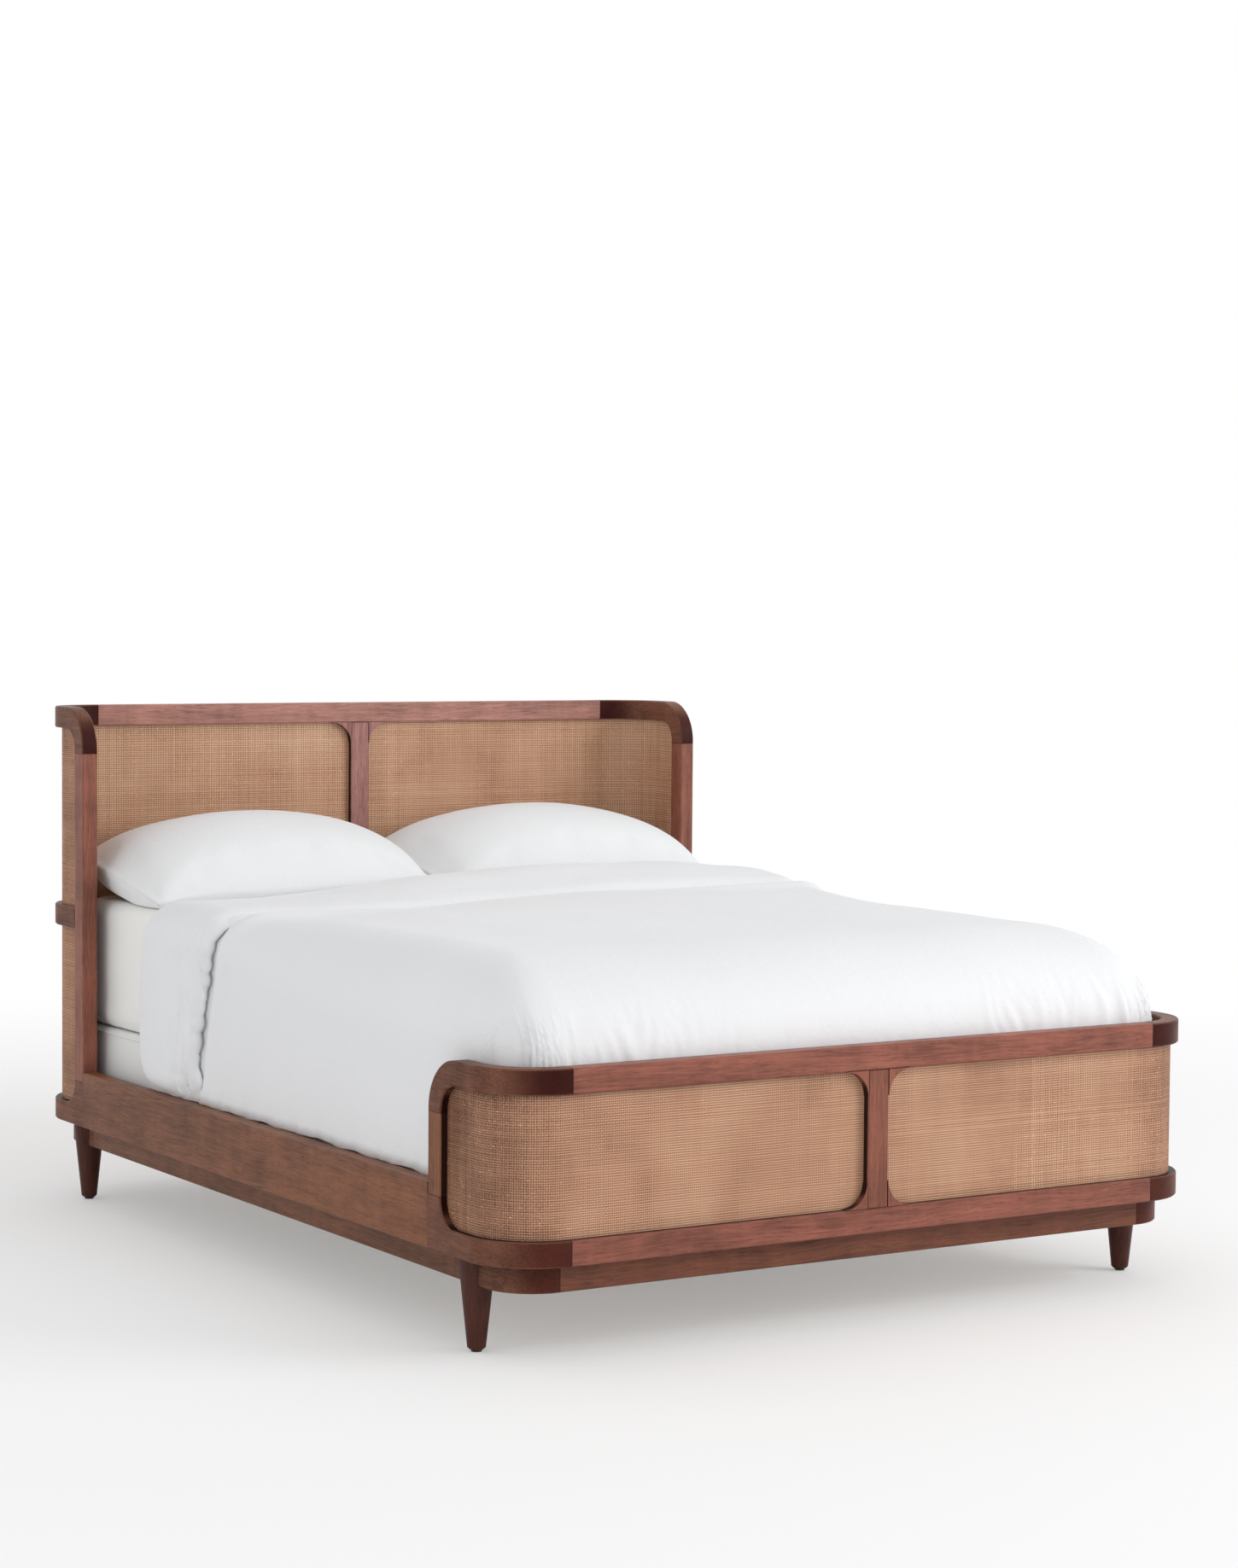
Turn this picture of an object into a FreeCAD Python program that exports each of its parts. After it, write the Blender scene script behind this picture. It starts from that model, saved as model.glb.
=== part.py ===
import FreeCAD
import Part
import Sketcher
import math
import os
import re

# Queen-size timber bed with bent, cane-filled ends, shown dressed.
# Millimetres. Origin on the floor at the middle of the bed, +X right seen from the foot,
# +Y towards the headboard, +Z up. Left-hand pieces are drawn and the right-hand ones mirrored.

# Driving dimensions
SIZES = {
    # whole bed
    "bed_width": 1640,
    "bed_length": 2183,
    "headboard_height": 1130,
    "footboard_height": 540,
    # timber frames of the headboard and footboard
    "frame_thick": 36,
    "rail_face": 48,
    "cove_radius": 50,
    "cove_tip": 1,
    "edge_ease": 2.5,
    "rail_underside": 180,
    "headboard_bend": 130,
    "footboard_bend": 137,
    "bend_straight": 5,
    "headboard_depth": 266,
    "footboard_depth": 284,
    "belt_height": 653,
    # cane panels, set in grooves
    "core_thick": 4,
    "cane_thick": 1,
    "groove_depth": 8,
    "panel_play": 0.3,
    # side rails and what they carry
    "side_rail_height": 125,
    "ledger_width": 42,
    "ledger_height": 46,
    "slat_count": 13,
    "slat_width": 70,
    "slat_thick": 20,
    "slat_play": 2,
    "beam_width": 40,
    "beam_depth": 62,
    "centre_leg_side": 45,
    "centre_leg_spacing": 700,
    "bracket_length": 90,
    "bracket_height": 40,
    "bracket_thick": 3,
    # plinth and legs
    "plinth_setback": 41.5,
    "plinth_thick": 20,
    "plinth_drop": 54,
    "plinth_past_leg": 58,
    "leg_side_inset": 54.6,
    "headboard_leg_inset": 172.6,
    "footboard_leg_inset": 193,
    "leg_top_dia": 71,
    "leg_foot_dia": 34,
    "leg_toe_ease": 4,
    "leg_slot_play": 0.2,
    "leg_block_width": 62,
    "leg_block_length": 46,
    "glide_dia": 20,
    "glide_thick": 4,
    # bedding
    "rest_gap": 0.3,
    "mattress_side_gap": 22,
    "mattress_head_gap": 15,
    "mattress_foot_gap": 64,
    "mattress_height": 288,
    "mattress_corner": 50,
    "mattress_edge": 34,
    "foundation_height": 155,
    "foundation_setback": 4,
    "foundation_ease": 8,
    "duvet_top": 34,
    "duvet_crown": 100,
    "duvet_play": 8,
    "hem_gap": 7,
    "fold_width": 340,
    "fold_rise": 46,
    "fold_swell": 13,
    "fold_round": 26,
    "fold_gap": 40,
    "pillow_side_gap": 11,
    "pillow_space": 18,
    "pillow_head_gap": 20,
    "pillow_depth": 430,
    "pillow_thick": 200,
    "pillow_edge": 16,
    "pillow_draw": 22,
    "pillow_rise": 95,
    "pillow_tilt": 8,
    "pillow_sections": 13,
    "pillow_fullness": 0.8,
}

doc = FreeCAD.newDocument("Bed")
sheet = doc.addObject("Spreadsheet::Sheet", "Sizes")
for row, (size_name, size) in enumerate(SIZES.items(), start=1):
    sheet.set(f"A{row}", size_name)
    sheet.set(f"B{row}", str(size))
    sheet.setAlias(f"B{row}", size_name)
doc.recompute()

pieces = {}


def value(text):
    """Number that a formula of sheet sizes comes to."""
    return float(sheet.evalExpression(text))


def sized(text):
    """The same formula, with each size read from the sheet."""
    return re.sub(r"[a-z_]+", r"Sizes.\g<0>", text)


def keep(label, solid):
    """Name a finished sub-part."""
    solid.Label = label
    pieces[label] = solid
    return solid


# Sketching and features

PLANE_ACROSS = {"x": "YZ_Plane", "y": "XZ_Plane", "z": "XY_Plane"}


def sketch_across(body, axis, place):
    """Empty sketch square to an axis of the bed, at a place along that axis."""
    sketch = body.newObject("Sketcher::SketchObject", f"{body.Name}_sketch")
    planes = body.Origin.OriginFeatures
    plane = next(feature for feature in planes if feature.Role == PLANE_ACROSS[axis])
    sketch.AttachmentSupport = (plane, [""])
    sketch.MapMode = "FlatFace"
    # the plane across y faces the foot of the bed, so places along y count backwards from it
    sign = "-" if axis == "y" else ""
    sketch.setExpression("AttachmentOffset.Base.z", f"{sign}({sized(place)})")
    return sketch


def bind(sketch, kind, *where, formula):
    """Dimension in a sketch that follows a formula."""
    number = sketch.addConstraint(Sketcher.Constraint(kind, *where, value(formula)))
    sketch.setExpression(f"Constraints[{number}]", sized(formula))


def draw_outline(sketch, corners):
    """Closed outline of level and upright sides. A corner is (u, v, radius), radius None if square."""
    spots = [FreeCAD.Vector(value(u), value(v), 0) for u, v, radius in corners]
    radii = [value(radius) if radius else 0 for u, v, radius in corners]
    count = len(corners)
    headings = []
    sides = []
    for index, spot in enumerate(spots):
        ahead = (index + 1) % count
        heading = (spots[ahead] - spot).normalize()
        start = spot + heading * radii[index]
        finish = spots[ahead] - heading * radii[ahead]
        side = sketch.addGeometry(Part.LineSegment(start, finish), False)
        level = abs(heading.x) > abs(heading.y)
        sketch.addConstraint(Sketcher.Constraint("Horizontal" if level else "Vertical", side))
        u, v, radius = corners[index]
        if level:
            bind(sketch, "DistanceY", -1, 1, side, 1, formula=v)
        else:
            bind(sketch, "DistanceX", -1, 1, side, 1, formula=u)
        headings.append(heading)
        sides.append(side)
    for index, (u, v, radius) in enumerate(corners):
        before = sides[index - 1]
        after = sides[index]
        if not radius:
            sketch.addConstraint(Sketcher.Constraint("Coincident", before, 2, after, 1))
            continue
        arrive = headings[index - 1]
        leave = headings[index]
        middle = spots[index] + (leave - arrive) * radii[index]
        enter = spots[index] - arrive * radii[index]
        leaving = spots[index] + leave * radii[index]
        bulge = middle + (spots[index] - middle).normalize() * radii[index]
        arc = sketch.addGeometry(Part.Arc(enter, bulge, leaving), False)
        turns_left = arrive.cross(leave).z > 0
        enter_end, leave_end = (1, 2) if turns_left else (2, 1)
        sketch.addConstraint(Sketcher.Constraint("Tangent", before, 2, arc, enter_end))
        sketch.addConstraint(Sketcher.Constraint("Tangent", arc, leave_end, after, 1))
        bind(sketch, "Radius", arc, formula=radius)


def draw_circle(sketch, u, v, radius):
    """Circle about a place in the sketch."""
    middle = FreeCAD.Vector(value(u), value(v), 0)
    circle = sketch.addGeometry(Part.Circle(middle, FreeCAD.Vector(0, 0, 1), value(radius)), False)
    bind(sketch, "DistanceX", -1, 1, circle, 3, formula=u)
    bind(sketch, "DistanceY", -1, 1, circle, 3, formula=v)
    bind(sketch, "Radius", circle, formula=radius)


def pad(body, axis, span, corners):
    """Outline carried along an axis over a span, added to the body."""
    low, high = span
    sketch = sketch_across(body, axis, high if axis == "y" else low)
    draw_outline(sketch, corners)
    feature = body.newObject("PartDesign::Pad", f"{body.Name}_pad")
    feature.Profile = sketch
    feature.setExpression("Length", sized(f"({high}) - ({low})"))
    doc.recompute()
    return feature


def cut_through(body, sketch):
    """Cut the sketched shape right through the body, both ways."""
    feature = body.newObject("PartDesign::Pocket", f"{body.Name}_cut")
    feature.Profile = sketch
    feature.Type = "ThroughAll"
    feature.SideType = "Symmetric"
    doc.recompute()
    return feature


def round_edges(body, names, radius):
    """Round the named edges of the body's last feature."""
    base = body.Tip
    feature = body.newObject("PartDesign::Fillet", f"{body.Name}_round")
    feature.Base = (base, names)
    feature.setExpression("Radius", sized(radius))
    doc.recompute()
    return feature


def ease_edges(body, names, width):
    """Take a narrow chamfer off the named edges of the body's last feature."""
    base = body.Tip
    feature = body.newObject("PartDesign::Chamfer", f"{body.Name}_eased")
    feature.Base = (base, names)
    feature.setExpression("Size", sized(width))
    doc.recompute()
    return feature


def lies_on(edge, **planes):
    """Whether an edge lies on every plane given, as x, y or z places."""
    def on(axis, place):
        return all(abs(getattr(vertex.Point, axis) - place) < 0.001 for vertex in edge.Vertexes)
    return all(on(axis, place) for axis, place in planes.items())


def edges_on(shape, **planes):
    """Names of the edges that lie on every plane given."""
    places = {axis: value(place) for axis, place in planes.items()}
    pairs = enumerate(shape.Edges, start=1)
    return [f"Edge{number}" for number, edge in pairs if lies_on(edge, **places)]


def is_sharp(shape, edge):
    """Whether the two faces beside an edge meet at an angle there."""
    middle = edge.valueAt((edge.FirstParameter + edge.LastParameter) / 2)
    normals = []
    for face in shape.ancestorsOfType(edge, Part.Face):
        u, v = face.Surface.parameter(middle)
        normals.append(face.normalAt(u, v))
    return len(normals) == 2 and normals[0].getAngle(normals[1]) > 0.1


def free_edges(shape, joints):
    """Names of the sharp edges that lie on no joint face. A joint is (axis, place)."""
    places = [(axis, value(place)) for axis, place in joints]
    names = []
    for number, edge in enumerate(shape.Edges, start=1):
        on_joint = any(lies_on(edge, **{axis: place}) for axis, place in places)
        if not on_joint and is_sharp(shape, edge):
            names.append(f"Edge{number}")
    return names


def bar(label, axis, x, y, z, eased=True):
    """Straight timber along an axis, between two places each way, with its long edges eased."""
    spans = {"x": x, "y": y, "z": z}
    (u_low, u_high), (v_low, v_high) = [spans[name] for name in "xyz" if name != axis]
    body = doc.addObject("PartDesign::Body", label)
    outline = [
        (u_low, v_low, None),
        (u_high, v_low, None),
        (u_high, v_high, None),
        (u_low, v_high, None),
    ]
    pad(body, axis, spans[axis], outline)
    if eased:
        ends = [(axis, place) for place in spans[axis]]
        ease_edges(body, free_edges(body.Shape, ends), "edge_ease")
    return body


def cut(label, base, tool):
    """Base with the tool's space taken out of it."""
    solid = doc.addObject("Part::Cut", label)
    solid.Base = base
    solid.Tool = tool
    return solid


def gather(label, solids):
    """Separate solids kept together as one sub-part."""
    group = doc.addObject("Part::Compound", label)
    group.Links = solids
    return keep(label, group)


def mirrored(name, solid):
    """The right-hand twin of a left-hand solid."""
    twin = doc.addObject("Part::Mirroring", name)
    twin.Source = solid
    twin.Normal = (1, 0, 0)
    return twin


def keep_pair(name, solid):
    """Keep a left-hand solid and its right-hand twin."""
    keep(f"{name}_left", solid)
    keep(f"{name}_right", mirrored(f"{name}_right", solid))


# Places, measured in from the outer faces of the bed

def left(distance):
    """X at a distance in from the left side."""
    return f"({distance}) - bed_width / 2"


def right(distance):
    """X at a distance in from the right side."""
    return f"bed_width / 2 - ({distance})"


class End:
    """The headboard or the footboard, with places measured in from its outer face."""

    def __init__(self, name):
        self.name = name
        self.top = f"{name}_height"
        self.bend = f"{name}_bend"
        self.depth = f"{name}_depth"
        self.leg_inset = f"{name}_leg_inset"
        self.rail_joint = f"{name}_bend + bend_straight"

    def y(self, distance):
        """Y at a distance in from the outer face."""
        if self.name == "headboard":
            return f"bed_length / 2 - ({distance})"
        return f"({distance}) - bed_length / 2"

    def span(self, near, far):
        """Y places at two distances in, the lower place first."""
        if self.name == "headboard":
            return self.y(far), self.y(near)
        return self.y(near), self.y(far)


HEADBOARD = End("headboard")
FOOTBOARD = End("footboard")
RAIL_TOP = "rail_underside + rail_face"
CORNER_RUN = "rail_face + cove_radius + bend_straight"


def bent(label, end, inset, thick, across, back, z):
    """Timber bent round the left corner: inset from the outer faces, as far across and back as given."""
    inner = f"{inset} + {thick}"
    body = doc.addObject("PartDesign::Body", label)
    outline = [
        (left(across), end.y(inset), None),
        (left(inset), end.y(inset), f"{end.bend} - ({inset})"),
        (left(inset), end.y(back), None),
        (left(inner), end.y(back), None),
        (left(inner), end.y(inner), f"{end.bend} - ({inner})"),
        (left(across), end.y(inner), None),
    ]
    pad(body, "z", z, outline)
    return body


# Grooves for the cane panels and the panels themselves

def panel(label, end, inset, thick, seat, z, rounded_at):
    """Thin sheet of the left bay, seated this deep in the frame, rounded at the given heights."""
    across = f"bed_width / 2 - rail_face / 2 + {seat}"
    back = f"{end.depth} - rail_face + {seat}"
    low, high = z
    body = bent(label, end, inset, thick, across, back, (f"{low} - ({seat})", f"{high} + {seat}"))
    places = {low: f"{low} - ({seat})", high: f"{high} + {seat}"}
    names = []
    for height in rounded_at:
        names += edges_on(body.Shape, y=end.y(back), z=places[height])
        names += edges_on(body.Shape, x=left(across), z=places[height])
    round_edges(body, names, f"cove_radius + {seat}")
    return body


class Bay:
    """An opening of the left half of an end, between two heights, with rounded corners at some."""

    def __init__(self, name, end, low, high, rounded_at):
        self.name = name
        self.end = end
        self.z = (low, high)
        self.rounded_at = rounded_at

    def sheet(self, layer, inset, thick, seat):
        """Sheet that fills the opening at one layer of the panel."""
        return panel(f"{self.name}_{layer}", self.end, inset, thick, seat, self.z, self.rounded_at)


BELT_LOW = "belt_height - rail_face / 2"
BELT_HIGH = "belt_height + rail_face / 2"
HEADBOARD_TOP = "headboard_height - rail_face"
FOOTBOARD_TOP = "footboard_height - rail_face"
BAYS = {
    "headboard": [
        Bay("headboard_upper", HEADBOARD, BELT_HIGH, HEADBOARD_TOP, [HEADBOARD_TOP]),
        Bay("headboard_lower", HEADBOARD, RAIL_TOP, BELT_LOW, [RAIL_TOP]),
    ],
    "footboard": [
        Bay("footboard_whole", FOOTBOARD, RAIL_TOP, FOOTBOARD_TOP, [RAIL_TOP, FOOTBOARD_TOP]),
    ],
}

STACK = "core_thick + 2 * cane_thick"
STACK_INSET = f"(frame_thick - ({STACK})) / 2"
SEAT = "groove_depth - panel_play"


def make_panels(end):
    """Cores, outer and inner cane of one end. Gives back the grooves that hold them."""
    bays = BAYS[end.name]
    groove_solids = []
    cores = []
    outer = []
    inner = []
    for bay in bays:
        groove_inset = f"{STACK_INSET} - panel_play"
        groove = bay.sheet("groove", groove_inset, f"{STACK} + 2 * panel_play", "groove_depth")
        groove_solids += [groove, mirrored(f"{bay.name}_groove_right", groove)]
        cores.append(bay.sheet("core", f"{STACK_INSET} + cane_thick", "core_thick", SEAT))
        outer.append(bay.sheet("outer_cane", STACK_INSET, "cane_thick", SEAT))
        inner_inset = f"{STACK_INSET} + cane_thick + core_thick"
        inner.append(bay.sheet("inner_cane", inner_inset, "cane_thick", SEAT))
    core_group = gather(f"{end.name}_core_left", cores)
    keep(f"{end.name}_core_right", mirrored(f"{end.name}_core_right", core_group))
    for layer, sheets in (("outer_cane", outer), ("inner_cane", inner)):
        twins = [mirrored(f"{sheet_body.Name}_right", sheet_body) for sheet_body in sheets]
        gather(f"{end.name}_{layer}", sheets + twins)
    grooves = doc.addObject("Part::Compound", f"{end.name}_grooves")
    grooves.Links = groove_solids
    return grooves


# Timber frame of an end

def top_corner(end):
    """Bent block at the top of the left corner: rail, rounded shoulder and the head of the stile."""
    joint = f"{end.top} - ({CORNER_RUN})"
    span = (joint, end.top)
    body = bent(f"{end.name}_top_corner", end, "0", "frame_thick", end.rail_joint, end.depth, span)
    stile_inner = end.y(f"{end.depth} - rail_face")
    beyond = end.y("-frame_thick")
    opening = [
        (stile_inner, f"{joint} - cove_radius", None),
        (stile_inner, f"{end.top} - rail_face", "cove_radius"),
        (beyond, f"{end.top} - rail_face", None),
        (beyond, f"{joint} - cove_radius", None),
    ]
    sketch = sketch_across(body, "x", "0")
    draw_outline(sketch, opening)
    cut_through(body, sketch)
    shoulder = edges_on(body.Shape, y=end.y(end.depth), z=end.top)
    round_edges(body, shoulder, "rail_face + cove_radius")
    joints = [("x", left(end.rail_joint)), ("z", joint)]
    ease_edges(body, free_edges(body.Shape, joints), "edge_ease")
    return body


def bottom_corner(end):
    """Bent block at the bottom of the left corner: rail and the foot of the stile."""
    joint = f"rail_underside + {CORNER_RUN}"
    span = ("rail_underside", joint)
    body = bent(f"{end.name}_bottom_corner", end, "0", "frame_thick", end.rail_joint, end.depth, span)
    stile_inner = end.y(f"{end.depth} - rail_face")
    beyond = end.y("-frame_thick")
    opening = [
        (stile_inner, f"{joint} + cove_radius", None),
        (stile_inner, RAIL_TOP, "cove_radius"),
        (beyond, RAIL_TOP, None),
        (beyond, f"{joint} + cove_radius", None),
    ]
    sketch = sketch_across(body, "x", "0")
    draw_outline(sketch, opening)
    cut_through(body, sketch)
    joints = [("x", left(end.rail_joint)), ("z", joint), ("y", end.y(end.depth))]
    ease_edges(body, free_edges(body.Shape, joints), "edge_ease")
    return body


def cove(end, name, height, side):
    """Block that rounds the opening in the corner between the centre stile and a rail."""
    far = f"{height} - cove_radius" if side == "below" else f"{height} + cove_radius"
    low, high = (far, height) if side == "below" else (height, far)
    reach = "-rail_face / 2 - cove_radius"
    y = end.span("0", "frame_thick")
    body = bar(f"{end.name}_cove_{name}", "y", (reach, "-rail_face / 2"), y, (low, high), eased=False)
    sketch = sketch_across(body, "y", "0")
    draw_circle(sketch, reach, far, "cove_radius - cove_tip")
    cut_through(body, sketch)
    return body


def make_end_frame(end, stile_name, grooves):
    """Rails, stiles, corner blocks and coves of one end, grooved for the panels."""
    face = end.span("0", "frame_thick")
    joint_low = f"rail_underside + {CORNER_RUN}"
    joint_high = f"{end.top} - ({CORNER_RUN})"
    rail_x = (left(end.rail_joint), right(end.rail_joint))
    rail_underside_of_top = f"{end.top} - rail_face"
    top_rail = bar(f"{end.name}_top_blank", "x", rail_x, face, (rail_underside_of_top, end.top))
    bottom_rail = bar(f"{end.name}_bottom_blank", "x", rail_x, face, ("rail_underside", RAIL_TOP))
    stile_x = ("-rail_face / 2", "rail_face / 2")
    centre = bar(f"{end.name}_centre_blank", "z", stile_x, face, (RAIL_TOP, rail_underside_of_top))
    stile_y = end.span(f"{end.depth} - rail_face", end.depth)
    side_face = (left("0"), left("frame_thick"))
    stile = bar(f"{end.name}_stile_blank", "z", side_face, stile_y, (joint_low, joint_high))
    keep(f"{end.name}_top_rail", cut(f"{end.name}_top_rail", top_rail, grooves))
    keep(f"{end.name}_bottom_rail", cut(f"{end.name}_bottom_rail", bottom_rail, grooves))
    keep(f"{end.name}_centre_stile", cut(f"{end.name}_centre_stile", centre, grooves))
    keep_pair(f"{end.name}_{stile_name}", cut(f"{end.name}_{stile_name}", stile, grooves))
    for name, blank in (("top_corner", top_corner(end)), ("bottom_corner", bottom_corner(end))):
        keep_pair(f"{end.name}_{name}", cut(f"{end.name}_{name}_grooved", blank, grooves))
    coves = []
    for name, height, side in (("high", rail_underside_of_top, "below"), ("low", RAIL_TOP, "above")):
        block = cut(f"{end.name}_cove_{name}_grooved", cove(end, name, height, side), grooves)
        coves += [block, mirrored(f"{end.name}_cove_{name}_right", block)]
    gather(f"{end.name}_coves", coves)


def make_belt(grooves):
    """Middle rail of the headboard, bent round both corners to the wing stiles."""
    end = HEADBOARD
    height = (BELT_LOW, BELT_HIGH)
    straight_x = (left(end.rail_joint), "-rail_face / 2")
    straight = bar("headboard_mid_blank", "x", straight_x, end.span("0", "frame_thick"), height)
    keep_pair("headboard_mid_rail", cut("headboard_mid_rail", straight, grooves))
    back = f"{end.depth} - rail_face"
    block = bent("headboard_mid_corner_blank", end, "0", "frame_thick", end.rail_joint, back, height)
    joints = [("x", left(end.rail_joint)), ("y", end.y(back))]
    ease_edges(block, free_edges(block.Shape, joints), "edge_ease")
    keep_pair("headboard_mid_corner", cut("headboard_mid_corner", block, grooves))


headboard_grooves = make_panels(HEADBOARD)
footboard_grooves = make_panels(FOOTBOARD)
make_end_frame(HEADBOARD, "wing_stile", headboard_grooves)
make_belt(headboard_grooves)
make_end_frame(FOOTBOARD, "end_stile", footboard_grooves)

# Side rails, the ledgers inside the frame, slats and their centre support
between_ends = (FOOTBOARD.y("footboard_depth"), HEADBOARD.y("headboard_depth"))
LEDGER_TOP = "rail_underside + ledger_height"
SLAT_TOP = f"{LEDGER_TOP} + slat_thick"
ledger_z = ("rail_underside", LEDGER_TOP)

rail_z = ("rail_underside", "rail_underside + side_rail_height")
keep_pair("side_rail", bar("side_rail", "y", (left("0"), left("frame_thick")), between_ends, rail_z))

ledger_inner = "frame_thick + ledger_width"
ledger_x = (left("frame_thick"), left(ledger_inner))
ledger = bar("side_ledger", "y", ledger_x, between_ends, ledger_z, eased=False)
ledgers = [ledger, mirrored("side_ledger_right", ledger)]
for end in (HEADBOARD, FOOTBOARD):
    cleat_x = (left(end.rail_joint), right(end.rail_joint))
    cleat_y = end.span("frame_thick", ledger_inner)
    ledgers.append(bar(f"{end.name}_cleat", "x", cleat_x, cleat_y, ledger_z, eased=False))
gather("ledgers", ledgers)

beam_x = ("-beam_width / 2", "beam_width / 2")
beam_y = (FOOTBOARD.y(ledger_inner), HEADBOARD.y(ledger_inner))
beam_low = f"{LEDGER_TOP} - beam_depth"
keep("centre_beam", bar("centre_beam", "y", beam_x, beam_y, (beam_low, LEDGER_TOP)))

centre_legs = []
for side, sign in (("front", "-"), ("rear", "")):
    middle = f"{sign}centre_leg_spacing / 2"
    leg_x = ("-centre_leg_side / 2", "centre_leg_side / 2")
    leg_y = (f"{middle} - centre_leg_side / 2", f"{middle} + centre_leg_side / 2")
    centre_legs.append(bar(f"centre_leg_{side}", "z", leg_x, leg_y, ("0", beam_low)))
gather("centre_legs", centre_legs)

first_slat = FOOTBOARD.y("footboard_bend")
last_slat = HEADBOARD.y("headboard_bend + slat_width")
slat_count = int(value("slat_count"))
slats = []
for number in range(slat_count):
    slat_low = f"({first_slat}) + (({last_slat}) - ({first_slat})) * {number} / (slat_count - 1)"
    slat_x = (left("frame_thick + slat_play"), right("frame_thick + slat_play"))
    slat_y = (slat_low, f"{slat_low} + slat_width")
    slats.append(bar(f"slat_{number}", "x", slat_x, slat_y, (LEDGER_TOP, SLAT_TOP), eased=False))
gather("slats", slats)

# Flat steel plates inside the four corners, across the joints of the side rails
bracket_middle = f"rail_underside + {CORNER_RUN}"
bracket_z = (f"{bracket_middle} - bracket_height / 2", f"{bracket_middle} + bracket_height / 2")
bracket_x = (left("frame_thick"), left("frame_thick + bracket_thick"))
brackets = []
for end in (HEADBOARD, FOOTBOARD):
    joint = end.y(end.depth)
    bracket_y = (f"{joint} - bracket_length / 2", f"{joint} + bracket_length / 2")
    plate = bar(f"{end.name}_bracket", "x", bracket_x, bracket_y, bracket_z, eased=False)
    brackets += [plate, mirrored(f"{end.name}_bracket_right", plate)]
gather("rail_brackets", brackets)

# Set-back plinth under the rails
plinth_z = ("rail_underside - plinth_drop", "rail_underside")
plinth_inner = "plinth_setback + plinth_thick"
for end, name in ((HEADBOARD, "rear"), (FOOTBOARD, "front")):
    plinth_x = (left(end.rail_joint), right(end.rail_joint))
    plinth_y = end.span("plinth_setback", plinth_inner)
    keep(f"{name}_plinth", bar(f"{name}_plinth", "x", plinth_x, plinth_y, plinth_z))
    back = f"{end.leg_inset} + plinth_past_leg"
    across = end.rail_joint
    block = bent(f"{name}_plinth_corner", end, "plinth_setback", "plinth_thick", across, back, plinth_z)
    joints = [("x", left(end.rail_joint)), ("y", end.y(back))]
    ease_edges(block, free_edges(block.Shape, joints), "edge_ease")
    keep_pair(f"{name}_plinth_corner", block)
plinth_side_x = (left("plinth_setback"), left(plinth_inner))
plinth_side_y = (
    FOOTBOARD.y("footboard_leg_inset + plinth_past_leg"),
    HEADBOARD.y("headboard_leg_inset + plinth_past_leg"),
)
keep_pair("side_plinth", bar("side_plinth", "y", plinth_side_x, plinth_side_y, plinth_z))


# Legs, turned and tapered, slotted at the top to straddle the plinth

def leg(label, end):
    """Left leg about its own axis, stood at its place under the corner."""
    body = doc.addObject("PartDesign::Body", label)
    sketch = sketch_across(body, "y", "0")
    profile = [
        ("0", "glide_thick"),
        ("leg_foot_dia / 2", "glide_thick"),
        ("leg_top_dia / 2", "rail_underside"),
        ("0", "rail_underside"),
    ]
    spots = [FreeCAD.Vector(value(u), value(v), 0) for u, v in profile]
    sides = []
    for index, spot in enumerate(spots):
        ahead = spots[(index + 1) % len(spots)]
        sides.append(sketch.addGeometry(Part.LineSegment(spot, ahead), False))
    for index, (u, v) in enumerate(profile):
        sketch.addConstraint(Sketcher.Constraint("Coincident", sides[index - 1], 2, sides[index], 1))
        bind(sketch, "DistanceX", -1, 1, sides[index], 1, formula=u)
        bind(sketch, "DistanceY", -1, 1, sides[index], 1, formula=v)
    turned = body.newObject("PartDesign::Revolution", f"{label}_turned")
    turned.Profile = sketch
    turned.ReferenceAxis = (sketch, ["V_Axis"])
    turned.Angle = 360
    doc.recompute()
    ease_edges(body, edges_on(turned.Shape, z="glide_thick"), "leg_toe_ease")
    slot_outer = "plinth_setback - leg_side_inset - leg_slot_play"
    slot_inner = "plinth_setback + plinth_thick - leg_side_inset + leg_slot_play"
    slot_floor = "rail_underside - plinth_drop - leg_slot_play"
    slot_roof = "rail_underside + plinth_drop"
    slot = sketch_across(body, "y", "0")
    draw_outline(slot, [
        (slot_outer, slot_floor, None),
        (slot_inner, slot_floor, None),
        (slot_inner, slot_roof, None),
        (slot_outer, slot_roof, None),
    ])
    cut_through(body, slot)
    body.setExpression("Placement.Base.x", sized(left("leg_side_inset")))
    body.setExpression("Placement.Base.y", sized(end.y(end.leg_inset)))
    return body


glides = []
leg_blocks = []
for end, name in ((HEADBOARD, "rear"), (FOOTBOARD, "front")):
    keep_pair(f"leg_{name}", leg(f"leg_{name}", end))
    glide = doc.addObject("Part::Cylinder", f"{name}_glide")
    glide.setExpression("Radius", sized("glide_dia / 2"))
    glide.setExpression("Height", sized("glide_thick"))
    glide.setExpression("Placement.Base.x", sized(left("leg_side_inset")))
    glide.setExpression("Placement.Base.y", sized(end.y(end.leg_inset)))
    glides += [glide, mirrored(f"{name}_glide_right", glide)]
    block_x = (left("frame_thick"), left("frame_thick + leg_block_width"))
    block_y = end.span(end.bend, f"{end.leg_inset} + leg_block_length")
    block = bar(f"{name}_leg_block", "y", block_x, block_y, ledger_z, eased=False)
    leg_blocks += [block, mirrored(f"{name}_leg_block_right", block)]
gather("leg_glides", glides)
gather("leg_blocks", leg_blocks)

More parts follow.
